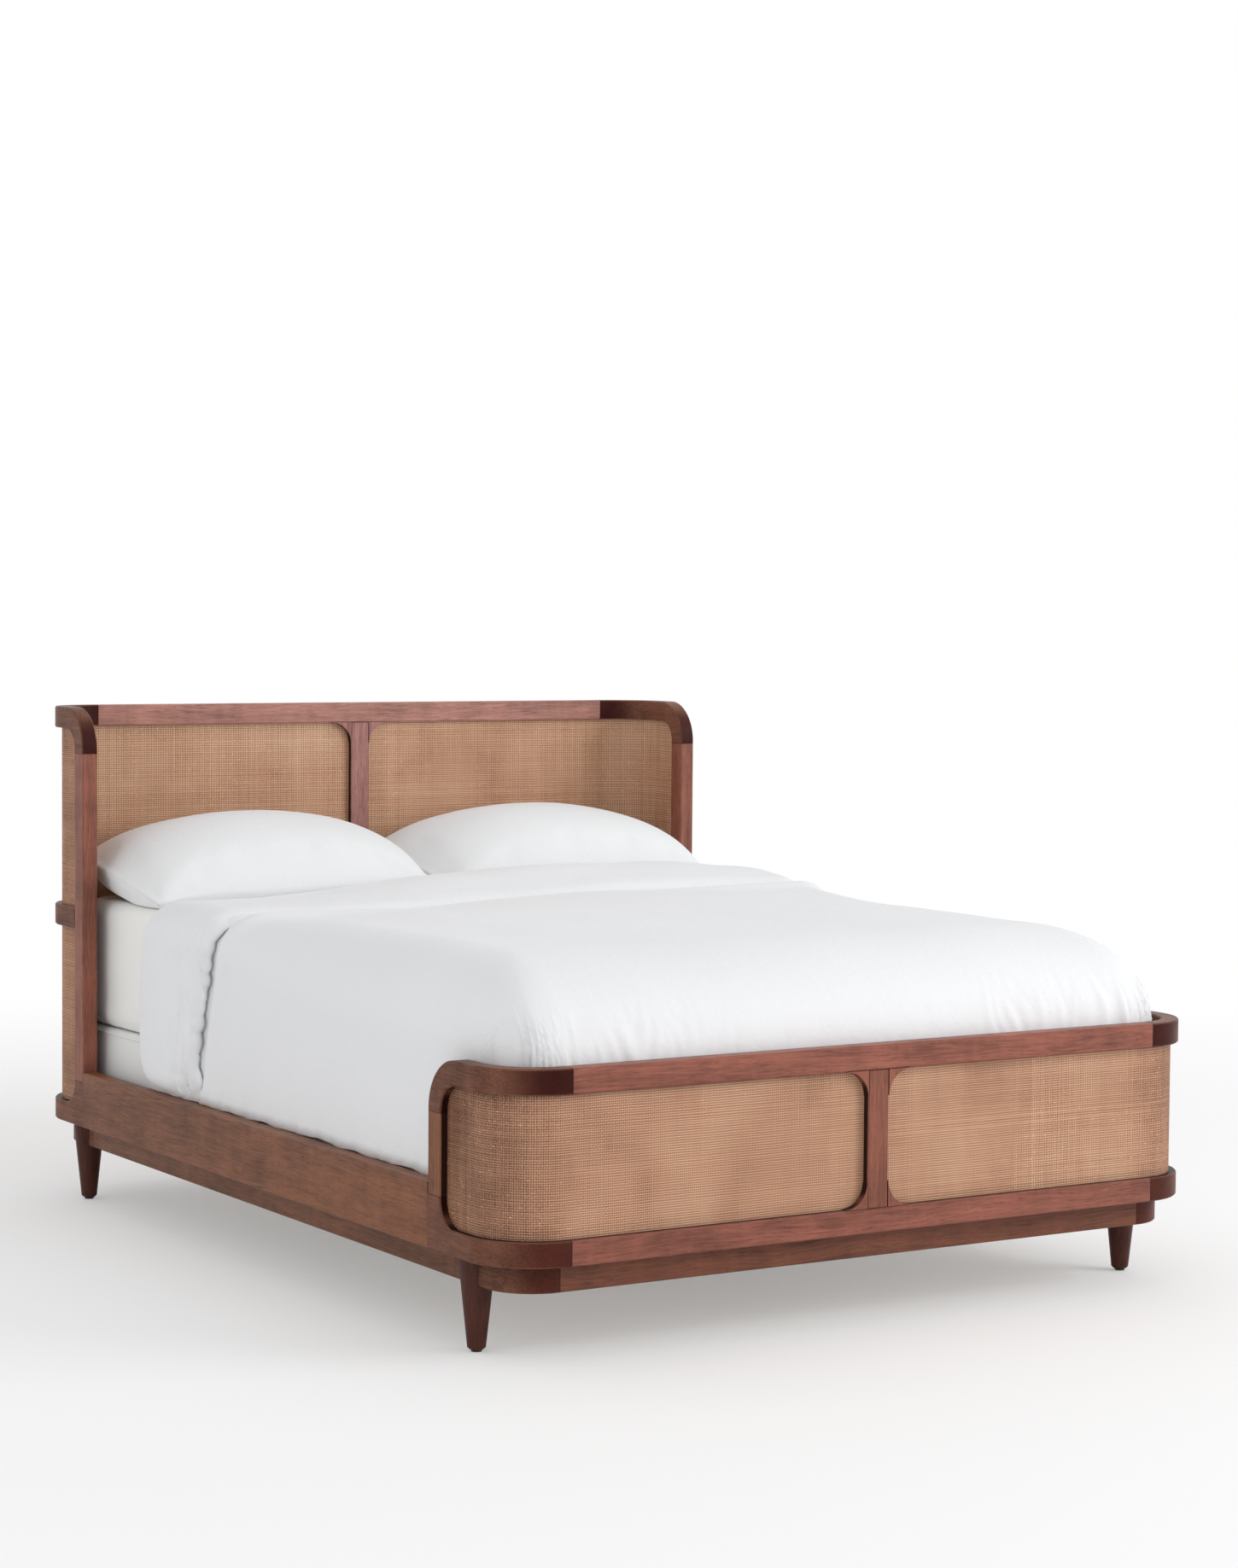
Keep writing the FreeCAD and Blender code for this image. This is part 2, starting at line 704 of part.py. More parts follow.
# Foundation and mattress
FOUNDATION_LOW = f"{SLAT_TOP} + rest_gap"
FOUNDATION_HIGH = f"{FOUNDATION_LOW} + foundation_height"
MATTRESS_LOW = f"{FOUNDATION_HIGH} + rest_gap"
MATTRESS_HIGH = f"{MATTRESS_LOW} + mattress_height"
mattress_half = "bed_width / 2 - frame_thick - mattress_side_gap"
MATTRESS_HEAD = HEADBOARD.y("frame_thick + mattress_head_gap")
MATTRESS_FOOT = FOOTBOARD.y("frame_thick + mattress_foot_gap")


def upholstered(label, setback, z):
    """Block with rounded upright corners, set back from the mattress line all round."""
    body = doc.addObject("PartDesign::Body", label)
    half = f"{mattress_half} - {setback}"
    foot = f"{MATTRESS_FOOT} + {setback}"
    head = f"{MATTRESS_HEAD} - {setback}"
    outline = [
        (f"-({half})", foot, "mattress_corner"),
        (half, foot, "mattress_corner"),
        (half, head, "mattress_corner"),
        (f"-({half})", head, "mattress_corner"),
    ]
    pad(body, "z", z, outline)
    return keep(label, body)


foundation = upholstered("foundation", "foundation_setback", (FOUNDATION_LOW, FOUNDATION_HIGH))
ease_edges(foundation, free_edges(foundation.Shape, []), "foundation_ease")
mattress = upholstered("mattress", "0", (MATTRESS_LOW, MATTRESS_HIGH))
round_edges(mattress, edges_on(mattress.Shape, z=MATTRESS_HIGH), "mattress_edge")


# Duvet: hangs down both sides, is tucked inside the footboard and turned back at the head

def arch(half, low, high, crown):
    """Outline across the bed: upright sides, level top, rounded shoulders."""
    return [
        (f"-({half})", low, None),
        (half, low, None),
        (half, high, crown),
        (f"-({half})", high, crown),
    ]


def carried(label, axis, span, outline):
    """Body of one outline carried along an axis."""
    body = doc.addObject("PartDesign::Body", label)
    pad(body, axis, span, outline)
    return body


PILLOW_HEAD = f"{MATTRESS_HEAD} - pillow_head_gap"
duvet_head = f"{PILLOW_HEAD} - pillow_depth - fold_gap"
duvet_foot = FOOTBOARD.y("frame_thick + duvet_play")
duvet_half = "bed_width / 2 - frame_thick - duvet_play"
duvet_hem = "rail_underside + side_rail_height + hem_gap"
duvet_high = f"{MATTRESS_HIGH} + rest_gap + duvet_top"
fold_start = f"{duvet_head} - fold_width"
fold_half = f"{duvet_half} + fold_swell"
fold_high = f"{duvet_high} + fold_rise"

# the spread is rounded three ways: over both sides, over the foot and round the corners of the foot
spread_y = (duvet_foot, f"{duvet_head} - fold_round")
spread_across = arch(duvet_half, duvet_hem, duvet_high, "duvet_crown")
spread_along = [
    (duvet_foot, duvet_hem, None),
    (f"{duvet_head} - fold_round", duvet_hem, None),
    (f"{duvet_head} - fold_round", duvet_high, None),
    (duvet_foot, duvet_high, "duvet_crown"),
]
tuck_corner = "footboard_bend - frame_thick - duvet_play"
spread_plan = [
    (f"-({duvet_half})", duvet_foot, tuck_corner),
    (duvet_half, duvet_foot, tuck_corner),
    (duvet_half, f"{duvet_head} - fold_round", None),
    (f"-({duvet_half})", f"{duvet_head} - fold_round", None),
]
spread_forms = [
    carried("duvet_across", "y", spread_y, spread_across),
    carried("duvet_along", "x", (f"-({duvet_half})", duvet_half), spread_along),
    carried("duvet_plan", "z", (duvet_hem, duvet_high), spread_plan),
]
spread = doc.addObject("Part::MultiCommon", "duvet_spread")
spread.Shapes = spread_forms

turned_outline = arch(fold_half, duvet_hem, fold_high, "duvet_crown + fold_swell")
turned_back = carried("duvet_turned_back", "y", (fold_start, duvet_head), turned_outline)
round_edges(turned_back, free_edges(turned_back.Shape, [("z", duvet_hem)]), "fold_round")

hollow_half = f"{mattress_half} + rest_gap"
hollow_outline = arch(hollow_half, "rail_underside", f"{MATTRESS_HIGH} + rest_gap", "mattress_edge")
hollow = carried("duvet_hollow", "y", (f"{MATTRESS_FOOT} - rest_gap", MATTRESS_HEAD), hollow_outline)
quilt = doc.addObject("Part::MultiFuse", "duvet_quilt")
quilt.Shapes = [spread, turned_back]
keep("duvet", cut("duvet", quilt, hollow))


# Pillows: crowned, drawn in along their long sides, flat where they rest on the mattress

def lens(sketch, chord, rise):
    """Two arcs that share their ends on the sketch's level axis, each rising this far from it."""
    half = value(chord) / 2
    ends = (FreeCAD.Vector(-half, 0, 0), FreeCAD.Vector(half, 0, 0))
    arcs = []
    for side in (1, -1):
        crest = FreeCAD.Vector(0, side * value(rise), 0)
        arcs.append(sketch.addGeometry(Part.Arc(ends[0], crest, ends[1]), False))
    upper, lower = arcs
    sketch.addConstraint(Sketcher.Constraint("Coincident", upper, 1, lower, 2))
    sketch.addConstraint(Sketcher.Constraint("Coincident", upper, 2, lower, 1))
    for spot, sign in ((1, ""), (2, "-")):
        bind(sketch, "DistanceX", -1, 1, upper, spot, formula=f"{sign}({chord}) / 2")
        bind(sketch, "DistanceY", -1, 1, upper, spot, formula="0")
    radius = f"(({chord}) * ({chord}) / 4 + ({rise}) * ({rise})) / (2 * ({rise}))"
    bind(sketch, "Radius", upper, formula=radius)
    bind(sketch, "Radius", lower, formula=radius)


pillow_half = f"({mattress_half} - pillow_side_gap - pillow_space / 2) / 2"


def pillow(label):
    """Pillow of the left place, tilted up towards the headboard."""
    body = doc.addObject("PartDesign::Body", f"{label}_form")
    sections = []
    steps = int(value("pillow_sections")) - 1
    for step in range(steps + 1):
        # the sections stand where a half turn taken in even steps puts them, closer near the ends
        turn = math.pi * (step / steps - 0.5)
        draw = math.cos(turn)
        swell = abs(draw) ** value("pillow_fullness")
        section = sketch_across(body, "x", f"{pillow_half} * {math.sin(turn):.6f}")
        rise = f"pillow_edge / 2 + (pillow_thick - pillow_edge) / 2 * {swell:.6f}"
        lens(section, f"pillow_depth - pillow_draw * {draw:.6f}", rise)
        sections.append(section)
    form = body.newObject("PartDesign::AdditiveLoft", f"{label}_loft")
    form.Profile = sections[0]
    form.Sections = sections[1:]
    form.Ruled = True
    tilt = FreeCAD.Rotation(FreeCAD.Vector(1, 0, 0), value("pillow_tilt"))
    body.Placement = FreeCAD.Placement(FreeCAD.Vector(0, 0, 0), tilt)
    body.setExpression("Placement.Base.x", sized(f"-({pillow_half}) - pillow_space / 2"))
    body.setExpression("Placement.Base.y", sized(f"{PILLOW_HEAD} - pillow_depth / 2"))
    body.setExpression("Placement.Base.z", sized(f"{MATTRESS_HIGH} + pillow_rise"))
    rest_x = (f"-({mattress_half})", "0")
    rest_y = (f"{PILLOW_HEAD} - 2 * pillow_depth", MATTRESS_HEAD)
    rest_z = (MATTRESS_LOW, f"{MATTRESS_HIGH} + rest_gap")
    below = bar(f"{label}_rest", "z", rest_x, rest_y, rest_z, eased=False)
    return cut(label, body, below)


keep_pair("pillow", pillow("pillow"))

doc.recompute()

# Nothing is written unless every object is sound
for item in doc.Objects:
    if "Invalid" in item.State or "Error" in item.State:
        raise RuntimeError(f"{item.Label} did not build: {item.State}")
for label, piece in pieces.items():
    shape = piece.Shape
    if shape.isNull() or not shape.isValid() or not shape.Solids:
        raise RuntimeError(f"{label} has no sound solid")

os.makedirs("parts", exist_ok=True)
for label, piece in pieces.items():
    piece.Shape.exportStep(f"parts/{label}.step")
print(len(pieces), "sub-parts")
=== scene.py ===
import math

import bpy
import numpy as np
from mathutils import Matrix, Vector


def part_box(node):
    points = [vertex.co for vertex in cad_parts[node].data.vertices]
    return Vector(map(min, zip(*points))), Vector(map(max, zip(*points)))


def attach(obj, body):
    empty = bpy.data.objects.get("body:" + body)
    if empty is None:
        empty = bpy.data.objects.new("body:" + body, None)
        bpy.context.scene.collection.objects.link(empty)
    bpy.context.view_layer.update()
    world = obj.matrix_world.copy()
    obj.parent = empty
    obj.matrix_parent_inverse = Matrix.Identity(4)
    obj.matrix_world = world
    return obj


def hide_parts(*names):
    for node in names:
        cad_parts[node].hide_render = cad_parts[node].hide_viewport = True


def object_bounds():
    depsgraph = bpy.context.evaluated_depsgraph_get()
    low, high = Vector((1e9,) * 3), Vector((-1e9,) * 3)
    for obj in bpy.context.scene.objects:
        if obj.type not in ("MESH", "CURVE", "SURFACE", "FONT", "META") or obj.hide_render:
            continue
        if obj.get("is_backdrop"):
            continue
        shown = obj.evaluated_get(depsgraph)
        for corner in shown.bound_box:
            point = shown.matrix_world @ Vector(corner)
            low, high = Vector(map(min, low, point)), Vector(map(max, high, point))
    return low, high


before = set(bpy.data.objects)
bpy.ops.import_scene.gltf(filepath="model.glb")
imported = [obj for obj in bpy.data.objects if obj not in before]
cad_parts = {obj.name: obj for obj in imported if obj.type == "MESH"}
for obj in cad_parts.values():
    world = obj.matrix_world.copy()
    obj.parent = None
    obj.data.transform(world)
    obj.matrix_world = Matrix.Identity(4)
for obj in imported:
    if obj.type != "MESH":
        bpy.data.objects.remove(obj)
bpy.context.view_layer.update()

scene = bpy.context.scene
scene.view_settings.view_transform = "Standard"


# Studio: a plain pale floor, even light from all round and two large soft lamps.
# The camera stands off the foot of the bed, to its left and a little above the mattress.
CAMERA_PLACE = Vector((-3.73347, -6.17044, 1.36240))
CAMERA_TURN = math.radians(31.78)
CAMERA_DIP = math.radians(3.01)
CAMERA_LEAN = math.radians(0.45)
CAMERA_LENS = 76.37
SKY_LEVEL = 0.76
LAMP_SIDE = 4.5
LAMP_TARGET = Vector((0.0, 0.0, 0.5))
LAMPS = {"key_lamp": (Vector((5.5, -5.5, 3.6)), 280.0), "side_lamp": (Vector((-7.0, -2.5, 2.2)), 36.0)}
FLOOR_HALF = 30.0
FLOOR_DROP = 0.0005
FLOOR_LIFT = 0.3
FLOOR_FADE = (2.0, 5.0)

ahead = Vector((math.sin(CAMERA_TURN), math.cos(CAMERA_TURN), -math.tan(CAMERA_DIP))).normalized()
level = ahead.cross(Vector((0, 0, 1))).normalized()
upright = level.cross(ahead)
camera_right = level * math.cos(CAMERA_LEAN) + upright * math.sin(CAMERA_LEAN)
camera_up = upright * math.cos(CAMERA_LEAN) - level * math.sin(CAMERA_LEAN)
camera_data = bpy.data.cameras.new("camera")
camera_data.lens = CAMERA_LENS
camera = bpy.data.objects.new("camera", camera_data)
camera.matrix_world = Matrix.Translation(CAMERA_PLACE) @ Matrix(
    (camera_right, camera_up, -ahead)
).transposed().to_4x4()
scene.collection.objects.link(camera)
scene.camera = camera


class Wire:
    """A socket in a node tree: sums and products of wires add Math nodes, node() adds any other."""

    def __init__(self, tree, socket=None):
        self.tree = tree
        self.socket = socket

    def node(self, kind, settings=(), inputs=(), out=0):
        """Adds a node, sets its settings, then its sockets' values or links, and gives one output."""
        made = self.tree.nodes.new("ShaderNode" + kind)
        for name, setting in dict(settings).items():
            if name == "stops":
                band = made.color_ramp.elements
                band[1].position, band[1].color = setting[-1]
                band[0].position, band[0].color = setting[0]
                for place, colour in setting[1:-1]:
                    band.new(place).color = colour
            else:
                setattr(made, name, setting)
        for name, given in dict(inputs).items():
            if isinstance(given, Wire):
                self.tree.links.new(given.socket, made.inputs[name])
            else:
                made.inputs[name].default_value = given
        return Wire(self.tree, made.outputs[out] if len(made.outputs) else None)

    def maths(self, operation, first, second):
        return self.node("Math", {"operation": operation}, {0: first, 1: second})

    def __add__(self, other):
        return self.maths("ADD", self, other)

    __radd__ = __add__

    def __sub__(self, other):
        return self.maths("SUBTRACT", self, other)

    def __rsub__(self, other):
        return self.maths("SUBTRACT", other, self)

    def __mul__(self, other):
        return self.maths("MULTIPLY", self, other)

    __rmul__ = __mul__

    def __abs__(self):
        return self.maths("ABSOLUTE", self, 0.0)


def linear(red, green, blue):
    """A colour as it looks on a screen, 0 to 255, turned into the linear values that a shader takes."""
    share = np.array([red, green, blue]) / 255
    value = np.where(share <= 0.04045, share / 12.92, ((share + 0.055) / 1.055) ** 2.4)
    return (*value.tolist(), 1.0)


def new_finish(name):
    """An empty material, and a wire to hang its nodes on."""
    material = bpy.data.materials.new(name)
    material.use_nodes = True
    material.node_tree.nodes.clear()
    return material, Wire(material.node_tree)


def coat(wire, colour, roughness, height=None, depth=0.0, **fixed):
    """Ends a material: a Principled shader with this colour and roughness, bumped by a height of 0 to 1."""
    inputs = {"Base Color": colour, "Roughness": roughness, **fixed}
    if height is not None:
        inputs["Normal"] = wire.node("Bump", {}, {"Height": height, "Distance": depth})
    shader = wire.node("BsdfPrincipled", {}, inputs)
    wire.node("OutputMaterial", {}, {"Surface": shader})
    return shader


def blend(factor, first, second):
    """One colour mixed into another by a factor."""
    return factor.node("Mix", {"data_type": "RGBA"}, {0: factor, 6: first, 7: second}, out=2)


def between(value, low, high):
    """0 where a value is under low, 1 over high, with a smooth step between; low may be the larger."""
    limits = {"Value": value, "From Min": low, "From Max": high}
    return value.node("MapRange", {"interpolation_type": "SMOOTHSTEP"}, limits)


sky = bpy.data.worlds.new("studio_light")
sky.use_nodes = True
sky.node_tree.nodes.clear()
scene.world = sky
air = Wire(sky.node_tree)
seen = air.node("LightPath", out="Is Camera Ray") + air.node("LightPath", out="Is Glossy Ray")
seen = seen + air.node("LightPath", out="Is Transmission Ray")
soft_light = air.node("Background", {}, {"Color": (1, 1, 1, 1), "Strength": SKY_LEVEL})
white_wall = air.node("Background", {}, {"Color": (1, 1, 1, 1), "Strength": 1.0})
backdrop = air.node("MixShader", {}, {0: seen, 1: soft_light, 2: white_wall})
air.node("OutputWorld", {}, {"Surface": backdrop})

for name, (place, power) in LAMPS.items():
    lamp_data = bpy.data.lights.new(name, "AREA")
    lamp_data.size = LAMP_SIDE
    lamp_data.energy = power
    lamp = bpy.data.objects.new(name, lamp_data)
    aim = (LAMP_TARGET - place).to_track_quat("-Z", "Y").to_matrix().to_4x4()
    lamp.matrix_world = Matrix.Translation(place) @ aim
    scene.collection.objects.link(lamp)


def new_piece(name, points, faces, finish):
    """A mesh object at the origin from an array of points and an array of quads, shaded smooth."""
    mesh = bpy.data.meshes.new(name)
    mesh.vertices.add(len(points))
    mesh.vertices.foreach_set("co", np.asarray(points, np.float32).ravel())
    mesh.loops.add(faces.size)
    mesh.loops.foreach_set("vertex_index", faces.astype(np.int32).ravel())
    mesh.polygons.add(len(faces))
    mesh.polygons.foreach_set("loop_start", np.arange(0, faces.size, faces.shape[1], dtype=np.int32))
    mesh.polygons.foreach_set("use_smooth", np.ones(len(faces), bool))
    mesh.update(calc_edges=True)
    mesh.validate()
    mesh.materials.append(finish)
    piece = bpy.data.objects.new(name, mesh)
    scene.collection.objects.link(piece)
    return piece


floor_finish, floor_wire = new_finish("studio_floor")
floor_speck = floor_wire.node("TexNoise", {}, {"Scale": 3.0})
floor_pale = blend(floor_speck, linear(249, 249, 249), linear(252, 252, 252))
floor_matt = floor_wire.node("BsdfPrincipled", {}, {"Base Color": floor_pale, "Roughness": 0.9})
floor_place = floor_wire.node("TexCoord", out="Object")
floor_away = floor_wire.node("VectorMath", {"operation": "LENGTH"}, {0: floor_place}, out="Value")
floor_seen = floor_wire.node("LightPath", out="Is Camera Ray")
floor_white = floor_wire.node("Emission", {}, {"Strength": 1.0})
floor_share = floor_seen * (between(floor_away, *FLOOR_FADE) * (1 - FLOOR_LIFT) + FLOOR_LIFT)
floor_mix = floor_wire.node("MixShader", {}, {0: floor_share, 1: floor_matt, 2: floor_white})
floor_wire.node("OutputMaterial", {}, {"Surface": floor_mix})
floor_corners = np.array([(-1, -1), (1, -1), (1, 1), (-1, 1)]) * FLOOR_HALF
floor_points = np.column_stack([floor_corners, np.full(4, -FLOOR_DROP)])
floor = new_piece("studio_floor", floor_points, np.array([[0, 1, 2, 3]]), floor_finish)
floor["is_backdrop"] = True


# Timber frame: headboard, footboard, side rails, plinth and legs are solid hardwood, stained a red
# brown and lacquered satin. Rails and stiles are sawn along their length. The corner blocks are sawn
# along the bed, so that end grain, which drinks more stain, shows dark where they turn to the front.
X, Y, Z = 0, 1, 2
# The headboard's paler, pinker colours are partly its boards' own tone and partly painted sheen from its
# lacquer.
HEAD_RED_WITH_SHEEN = linear(164, 116, 104)
HEAD_STILE_WITH_SHEEN = linear(154, 108, 101)
FOOT_RED = linear(142, 85, 70)
FOOT_STILE = linear(131, 79, 63)
WING_RED = linear(132, 81, 65)
SIDE_BROWN = linear(121, 74, 47)
BLOCK_BROWN = linear(113, 74, 58)
LEG_DARK = linear(74, 38, 27)
PLINTH_BROWN = linear(112, 67, 49)
END_GRAIN = linear(50, 13, 8)
END_GRAIN_LOW = linear(72, 33, 24)
PORE_DARK = linear(58, 26, 18)
# Painted shade with some dark stain: the near black of edges that face an opening.
REVEAL_SHADE_AND_STAIN = linear(34, 11, 7)
# Each noise in the timber: its scale across the grain, its scale along it, and its detail.
BROAD_STREAKS, FINE_STREAKS, PORES = (34, 2.4, 3), (290, 13, 3), (1000, 36, 1)
CLOUDS, FLAME = (9, 5, 2), (8, 26, 2)
HAIRLINE = (0.0014, 0.0003)  # half width of its shade, and of its dark middle


def tint(colour, factor):
    """A linear colour made lighter or darker by a factor."""
    return (*(min(1.0, part * factor) for part in colour[:3]), 1.0)


def timber(name, grain, colour, end_colour, seed, figure=0.7, joints=(), shaded_reveals=(), gloss=0.22):
    """Stained timber sawn along one axis. Noise drawn out along that axis gives broad streaks, fine
    streaks and pores, and a cloudy noise gives the figure. Where the surface turns to face along the
    grain it takes the end grain's colour, and a dark hairline marks each joint (axis, place). Edges
    that face an opening (axis, sign, and how far out along Y they may lie) are painted near black:
    painted shade for their narrow recess, with some dark stain."""
    finish, wire = new_finish(name)
    place = wire.node("TexCoord", out="Object")
    wander = wire.node(
        "TexNoise", {"noise_dimensions": "4D"}, {"Vector": place, "W": seed, "Scale": 2.4}, out=1
    )
    bent = wire.node(
        "VectorMath", {"operation": "MULTIPLY_ADD"}, {0: wander, 1: (0.05, 0.05, 0.05), 2: place}
    )

    def drawn_out(across, along, detail):
        """Noise with one scale along the grain and another across it."""
        scale = [across, across, across]
        scale[grain] = along
        stretched = wire.node("VectorMath", {"operation": "MULTIPLY"}, {0: bent, 1: scale})
        inputs = {"Vector": stretched, "W": seed, "Scale": 1.0, "Detail": detail, "Roughness": 0.6}
        return wire.node("TexNoise", {"noise_dimensions": "4D"}, inputs)

    broad = drawn_out(*BROAD_STREAKS)
    fine = drawn_out(*FINE_STREAKS)
    pores = between(drawn_out(*PORES), 0.55, 0.72)
    cloud = drawn_out(*CLOUDS)
    flame = drawn_out(*FLAME)
    tone = broad * 0.8 + fine * 1.1 + cloud * figure + flame * (0.6 * figure) - (0.45 + 0.8 * figure)
    stops = [(0.12, tint(colour, 0.5)), (0.5, colour), (0.88, tint(colour, 1.45))]
    brown = wire.node("ValToRGB", {"stops": stops}, {"Fac": tone})
    brown = blend(pores * 0.5, brown, PORE_DARK)
    normal = wire.node("NewGeometry", out="Normal")
    sawn = between(abs(wire.node("SeparateXYZ", {}, {0: normal}, out=grain)), 0.45, 1.0)
    end_tone = blend(tone, tint(end_colour, 0.7), tint(end_colour, 1.7))
    brown = blend(sawn, brown, end_tone)
    for axis, at in joints:
        spot = wire.node("SeparateXYZ", {}, {0: place}, out=axis)
        hairline = between(abs(spot - at), *HAIRLINE)
        brown = blend(hairline * 0.75, brown, tint(PORE_DARK, 0.4))
    # Painted shade: edges that face an opening go near black, for the shade in their recess, with some dark
    # stain.
    for axis, sign, reach in shaded_reveals:
        turned = between(wire.node("SeparateXYZ", {}, {0: normal}, out=axis) * sign, 0.7, 0.95)
        if reach:
            out_along = abs(wire.node("SeparateXYZ", {}, {0: place}, out=Y))
            turned = turned * between(out_along, reach, reach - 0.004)
        brown = blend(turned, brown, REVEAL_SHADE_AND_STAIN)
    roughness = 0.34 + pores * 0.2 + (1 - tone) * 0.12
    coat(wire, brown, roughness, fine * 0.4 - pores, 0.00012, **{"Specular IOR Level": gloss})
    return finish


def dress(node, finish):
    """Gives a CAD node its finish."""
    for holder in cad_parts[node].material_slots:
        holder.material = finish


def ends(node, axis):
    """The two joints at a member's ends, along an axis."""
    low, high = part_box(node)
    return [(axis, low[axis]), (axis, high[axis])]


# Edges that face an opening, painted near black with shade and some dark stain.
UPWARDS, DOWNWARDS = (Z, 1, None), (Z, -1, None)
SIDEWAYS = [(X, 1, None), (X, -1, None)]
members = {}
for board, red, stile in (("headboard", HEAD_RED_WITH_SHEEN, HEAD_STILE_WITH_SHEEN), ("footboard", FOOT_RED, FOOT_STILE)):
    members[f"{board}_top_rail"] = (X, red, [DOWNWARDS])
    members[f"{board}_bottom_rail"] = (X, tint(FOOT_RED, 0.9), [UPWARDS])
    members[f"{board}_centre_stile"] = (Z, stile, SIDEWAYS)
    members[f"{board}_coves"] = (Z, stile, [*SIDEWAYS, UPWARDS, DOWNWARDS])
for side in ("left", "right"):
    members[f"headboard_mid_rail_{side}"] = (X, FOOT_RED, [UPWARDS, DOWNWARDS])
    members[f"headboard_wing_stile_{side}"] = (Z, WING_RED, [(Y, 1, None)])
    members[f"footboard_end_stile_{side}"] = (Z, SIDE_BROWN, [(Y, -1, None)])
    members[f"side_rail_{side}"] = (Y, SIDE_BROWN, [])
    members[f"side_plinth_{side}"] = (Y, tint(SIDE_BROWN, 0.85), [])
    for place in ("front", "rear"):
        members[f"leg_{place}_{side}"] = (Z, LEG_DARK, [])
members["front_plinth"] = (X, PLINTH_BROWN, [])
members["rear_plinth"] = (X, PLINTH_BROWN, [])
for seed, (node, (grain, colour, shaded_reveals)) in enumerate(members.items()):
    marks = [] if "coves" in node or "leg" in node else ends(node, grain)
    finish = timber(node, grain, colour, tint(colour, 0.45), 1.7 * seed, joints=marks, shaded_reveals=shaded_reveals)
    dress(node, finish)

# How far out along Y a corner block's edges that face an opening take the painted shade.
STUB_REACH = {"headboard": 0.99, "footboard": 0.985}
corner_blocks = [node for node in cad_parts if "_corner_" in node]
for seed, node in enumerate(sorted(corner_blocks)):
    low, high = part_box(node)
    marks = [(X, high[X] if high[X] < 0 else low[X])]
    shaded_reveals = []
    board = node.split("_")[0]
    if board in STUB_REACH:
        shaded_reveals = [UPWARDS] if "bottom" in node else [DOWNWARDS]
        if "mid" not in node:
            marks.append((Z, low[Z] if "top" in node else high[Z]))
            shaded_reveals.append((Y, 1 if board == "headboard" else -1, STUB_REACH[board]))
    sawn_end = END_GRAIN if "top" in node else END_GRAIN_LOW
    block = timber(node, Y, BLOCK_BROWN, sawn_end, 90 + 1.3 * seed, 0.9, marks, shaded_reveals, gloss=0.1)
    dress(node, block)


# Base: softwood slats, ledgers, beam and blocks carry the mattress inside the frame, left unstained.
# The rails are drawn up to the corner blocks with zinc-plated steel brackets, and each leg stands
# on a moulded glide.
PINE = linear(203, 172, 128)
PINE_END = linear(176, 138, 92)
STEEL = linear(150, 150, 148)
GLIDE_BLACK = linear(38, 36, 35)
hidden_timber = {"slats": X, "ledgers": Y, "centre_beam": Y, "centre_legs": Z, "leg_blocks": Y}
for seed, (node, grain) in enumerate(hidden_timber.items()):
    dress(node, timber(node, grain, PINE, PINE_END, 140 + seed, figure=0.4))

fittings = [
    ("rail_brackets", "bracket_steel", STEEL, 1.15, (220.0, 3.0), 0.3, 0.00005, 1.0),
    ("leg_glides", "glide_plastic", GLIDE_BLACK, 1.3, (900.0, 2.0), 0.5, 0.00004, 0.0),
]
for node, name, colour, light, (scale, detail), roughness, depth, metal in fittings:
    fitting, wire = new_finish(name)
    speck = wire.node("TexNoise", {}, {"Scale": scale, "Detail": detail})
    shades = blend(speck, tint(colour, 0.8), tint(colour, light))
    coat(wire, shades, roughness + speck * 0.2, speck, depth, Metallic=metal)
    dress(node, fitting)


# Cane panels: flat strands of peeled cane, woven over and under in a square mesh and bonded to both
# faces of a dark-stained board, which shows through the holes. Each panel bends round the corner of
# the bed with its board, and its edges are held in grooves in the frame.
PITCH = 0.0044
STRAND = 0.0025
WEAVE_RISE = 0.00034
SEAT = 0.004
LAYER_DEPTH = {"outer": 0.0155, "inner": 0.0205}
COVE = 0.050
HEAD_BEND = 0.130
FOOT_BEND = 0.137
CANE_DARK = linear(116, 72, 48)
CANE_TAN = linear(209, 156, 122)
CANE_LIGHT = linear(234, 194, 158)
BOARD_DARK = linear(46, 19, 11)
SPACING_ERROR = 0.00022
MESH_WANDER = 0.0009
WIDTH_VARIES = (0.84, 1.16)
TONE_VARIES, TONE_DRIFT = 0.04, 0.07
FLECK_SHARE, FLECK_LIGHT = 0.008, 0.35
# Painted light: the inner layers, which carry the headboard's face to the bed, take a lighter tone than the
# outer layers of the same cane.
INNER_LIT_TONE, OUTER_TONE = 0.60, 0.52
# Painted shade: the outer cane is darkened where it turns round the bends of the head and foot.
BEND_PAINTED_SHADE = {1: 0.08, -1: 0.28}  # how much darker the outer cane turns round the head's and foot's bends
BEND_ZONE = (0.06, 0.14)  # from how far before the bend's start, to how far past it
SQUARE_CORNER = 0.001

board_finish, board_wire = new_finish("panel_board")
board_grain = board_wire.node("TexNoise", {}, {"Scale": 60.0, "Detail": 4.0})
coat(board_wire, blend(board_grain, tint(BOARD_DARK, 0.6), tint(BOARD_DARK, 1.5)), 0.7)
for node in sorted(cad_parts):
    if "_core_" in node:
        dress(node, board_finish)

